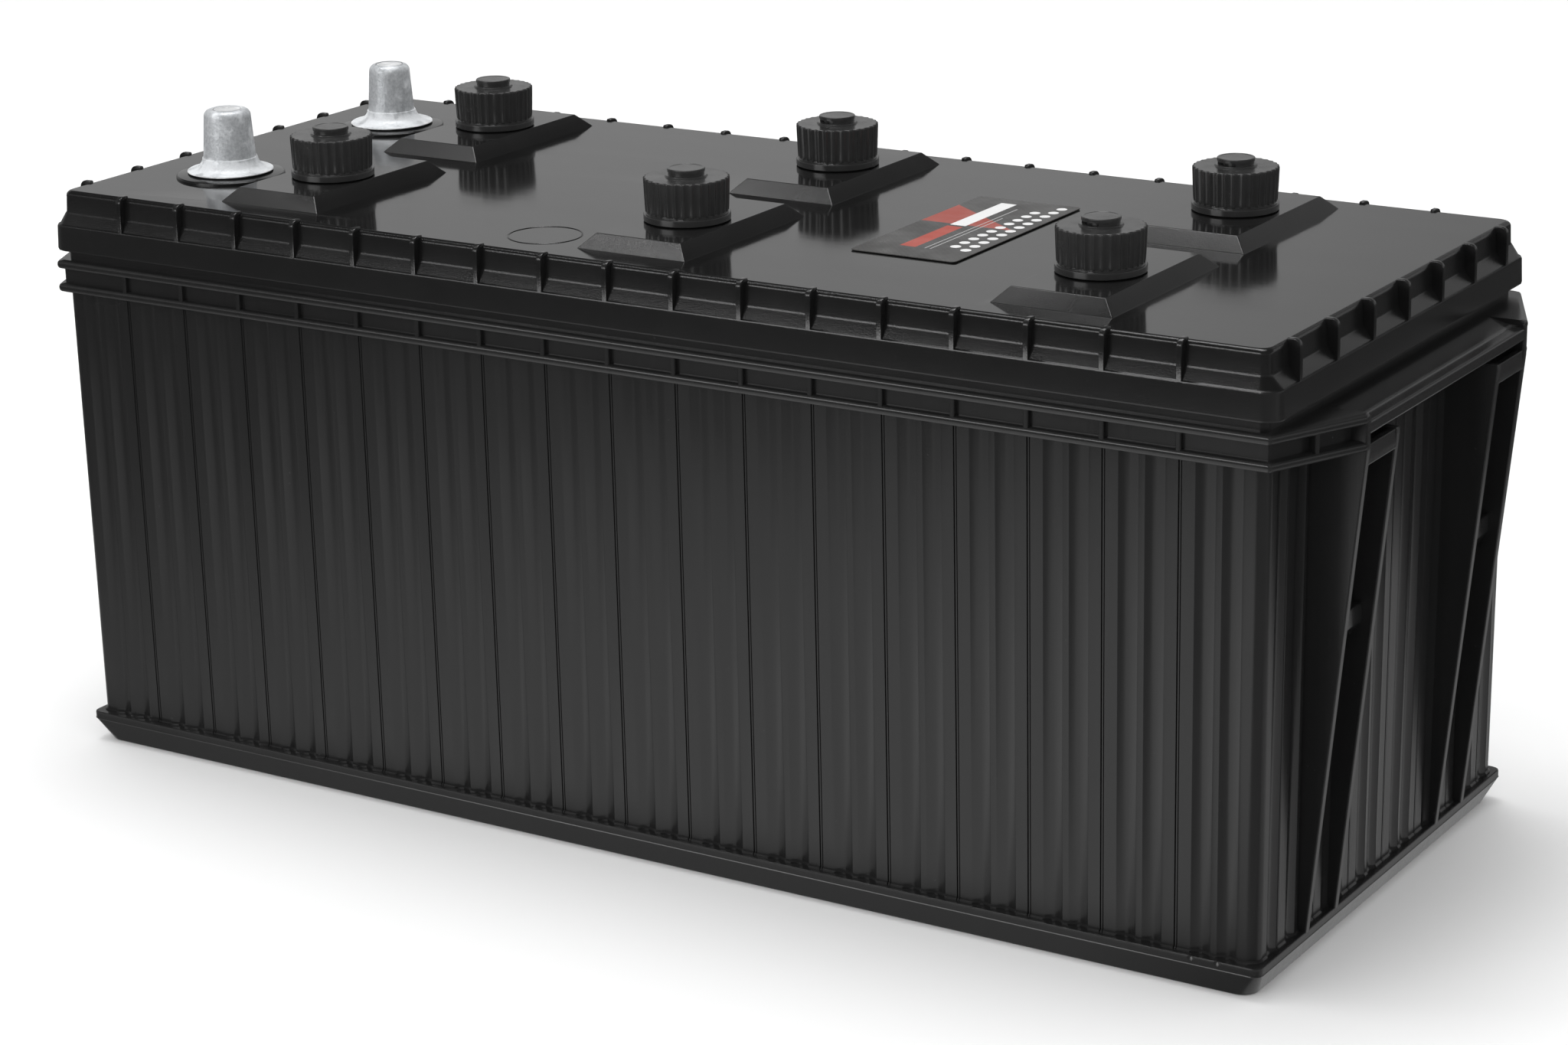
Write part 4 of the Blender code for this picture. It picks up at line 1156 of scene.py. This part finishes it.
def seen_in_gloss(made, plain, radiance, kind):
    """Camera and diffuse rays see plain, and reflections see radiance."""
    mirror = made.add(kind, Color=(1, 1, 1, 1), Strength=radiance)
    ray = made.add("ShaderNodeLightPath").outputs["Is Glossy Ray"]
    mixed = made.add("ShaderNodeMixShader")
    for socket, value in zip(mixed.inputs, (ray, plain.outputs[0], mirror.outputs[0])):
        made.put(socket, value)
    output = next(node for node in made.tree.nodes if node.type.startswith("OUTPUT"))
    made.put(output.inputs["Surface"], mixed.outputs[0])


def floor_paper():
    """White paper, which reflections see by the studio's glow and bright on a patch before the case, dimmed
    right next to the case by a painted contact shadow.
    """
    made = Nodes("floor_paper")
    tone = made.noise(3.0, 3.0)
    made.end(made.mix(tone, grey(0.86), grey(0.90)), 0.75)
    incoming = made.surface("Incoming")
    away = made.add("ShaderNodeVectorMath", {"operation": "SCALE"}, Vector=incoming, Scale=-1.0).outputs[0]
    x, y, z = made.split(made.place)
    beside = made.minus(made.math("ABSOLUTE", x), CASE.x)
    before = made.minus(made.math("ABSOLUTE", y), CASE.y)
    lit = made.ramp(made.math("MAXIMUM", beside, before), *FADE, 1.0, made.ramp(y, *FADED))
    lit = made.math("MAXIMUM", lit, made.ramp(z, 0.2, 0.8))
    across = made.times(made.smooth(x, *PATCH_LEFT), made.smooth(x, *PATCH_RIGHT))
    # The second ramp dims the patch next to the case front: a painted contact shadow for reflections
    depth = made.times(made.smooth(y, *PATCH_FRONT), made.smooth(y, *PATCH_CONTACT_SHADOW))
    radiance = made.plus(made.times(glow(made, away), lit), made.times(across, depth))
    seen_in_gloss(made, made.shader, radiance, "ShaderNodeEmission")
    return made.material


def make_stage():
    """A pale floor that sweeps up into a far wall."""
    near, far, side, radius, top = SWEEP
    profile = [(near, 0.0)] + [(far - radius + x, radius + z) for x, z in arc((0, 0), radius, -90, 0, 16)]
    profile.append((far, top))
    vertices = [(x, y, z) for x in (-side, side) for y, z in profile]
    count = len(profile)
    floor = new_object("floor", vertices, [(i, i + 1, count + i + 1, count + i) for i in range(count - 1)])
    floor.data.shade_smooth()
    floor.data.materials.append(floor_paper())


def area_light(name, place, target, size, power):
    data = bpy.data.lights.new(name, "AREA")
    data.shape = "RECTANGLE"
    data.size, data.size_y = size
    data.energy = power
    light = linked(name, data)
    light.location = place
    light.rotation_euler = (Vector(target) - Vector(place)).to_track_quat("-Z", "Y").to_euler()


def make_light():
    made = Nodes("studio", bpy.data.worlds)
    plain = made.tree.nodes["Background"]
    made.put(plain.inputs["Color"], (1.0, 1.0, 1.0, 1.0))
    made.put(plain.inputs["Strength"], 1.0)
    direction = made.add("ShaderNodeTexCoord").outputs["Generated"]
    seen_in_gloss(made, plain, glow(made, direction), "ShaderNodeBackground")
    bpy.context.scene.world = made.material
    for light in LIGHTS:
        area_light(*light)
    bpy.context.scene.view_settings.view_transform = "Standard"


def make_camera():
    azimuth, elevation, roll = [radians(angle) for angle in CAMERA_TURN]
    back = Vector((sin(azimuth) * cos(elevation), -cos(azimuth) * cos(elevation), sin(elevation)))
    right = Vector((cos(azimuth), sin(azimuth), 0))
    up = back.cross(right)
    tilted_right = cos(roll) * right + sin(roll) * up
    tilted_up = -sin(roll) * right + cos(roll) * up
    data = bpy.data.cameras.new("camera")
    data.sensor_width = SENSOR
    data.lens = LENS
    camera = linked("camera", data)
    turn = Matrix((tilted_right, tilted_up, back)).transposed()
    camera.matrix_world = Matrix.Translation(CAMERA_PLACE) @ turn.to_4x4()
    bpy.context.scene.camera = camera


def main():
    lead = cast_lead()
    make_case(case_plastic())
    make_cover(cover_plastic())
    make_plugs(plug_plastic())
    make_gaskets(gasket_rubber())
    for side in ("positive", "negative"):
        make_terminal(side, lead)
    make_label(label_film())
    dress_inside(lead)
    make_stage()
    make_light()
    make_camera()


main()
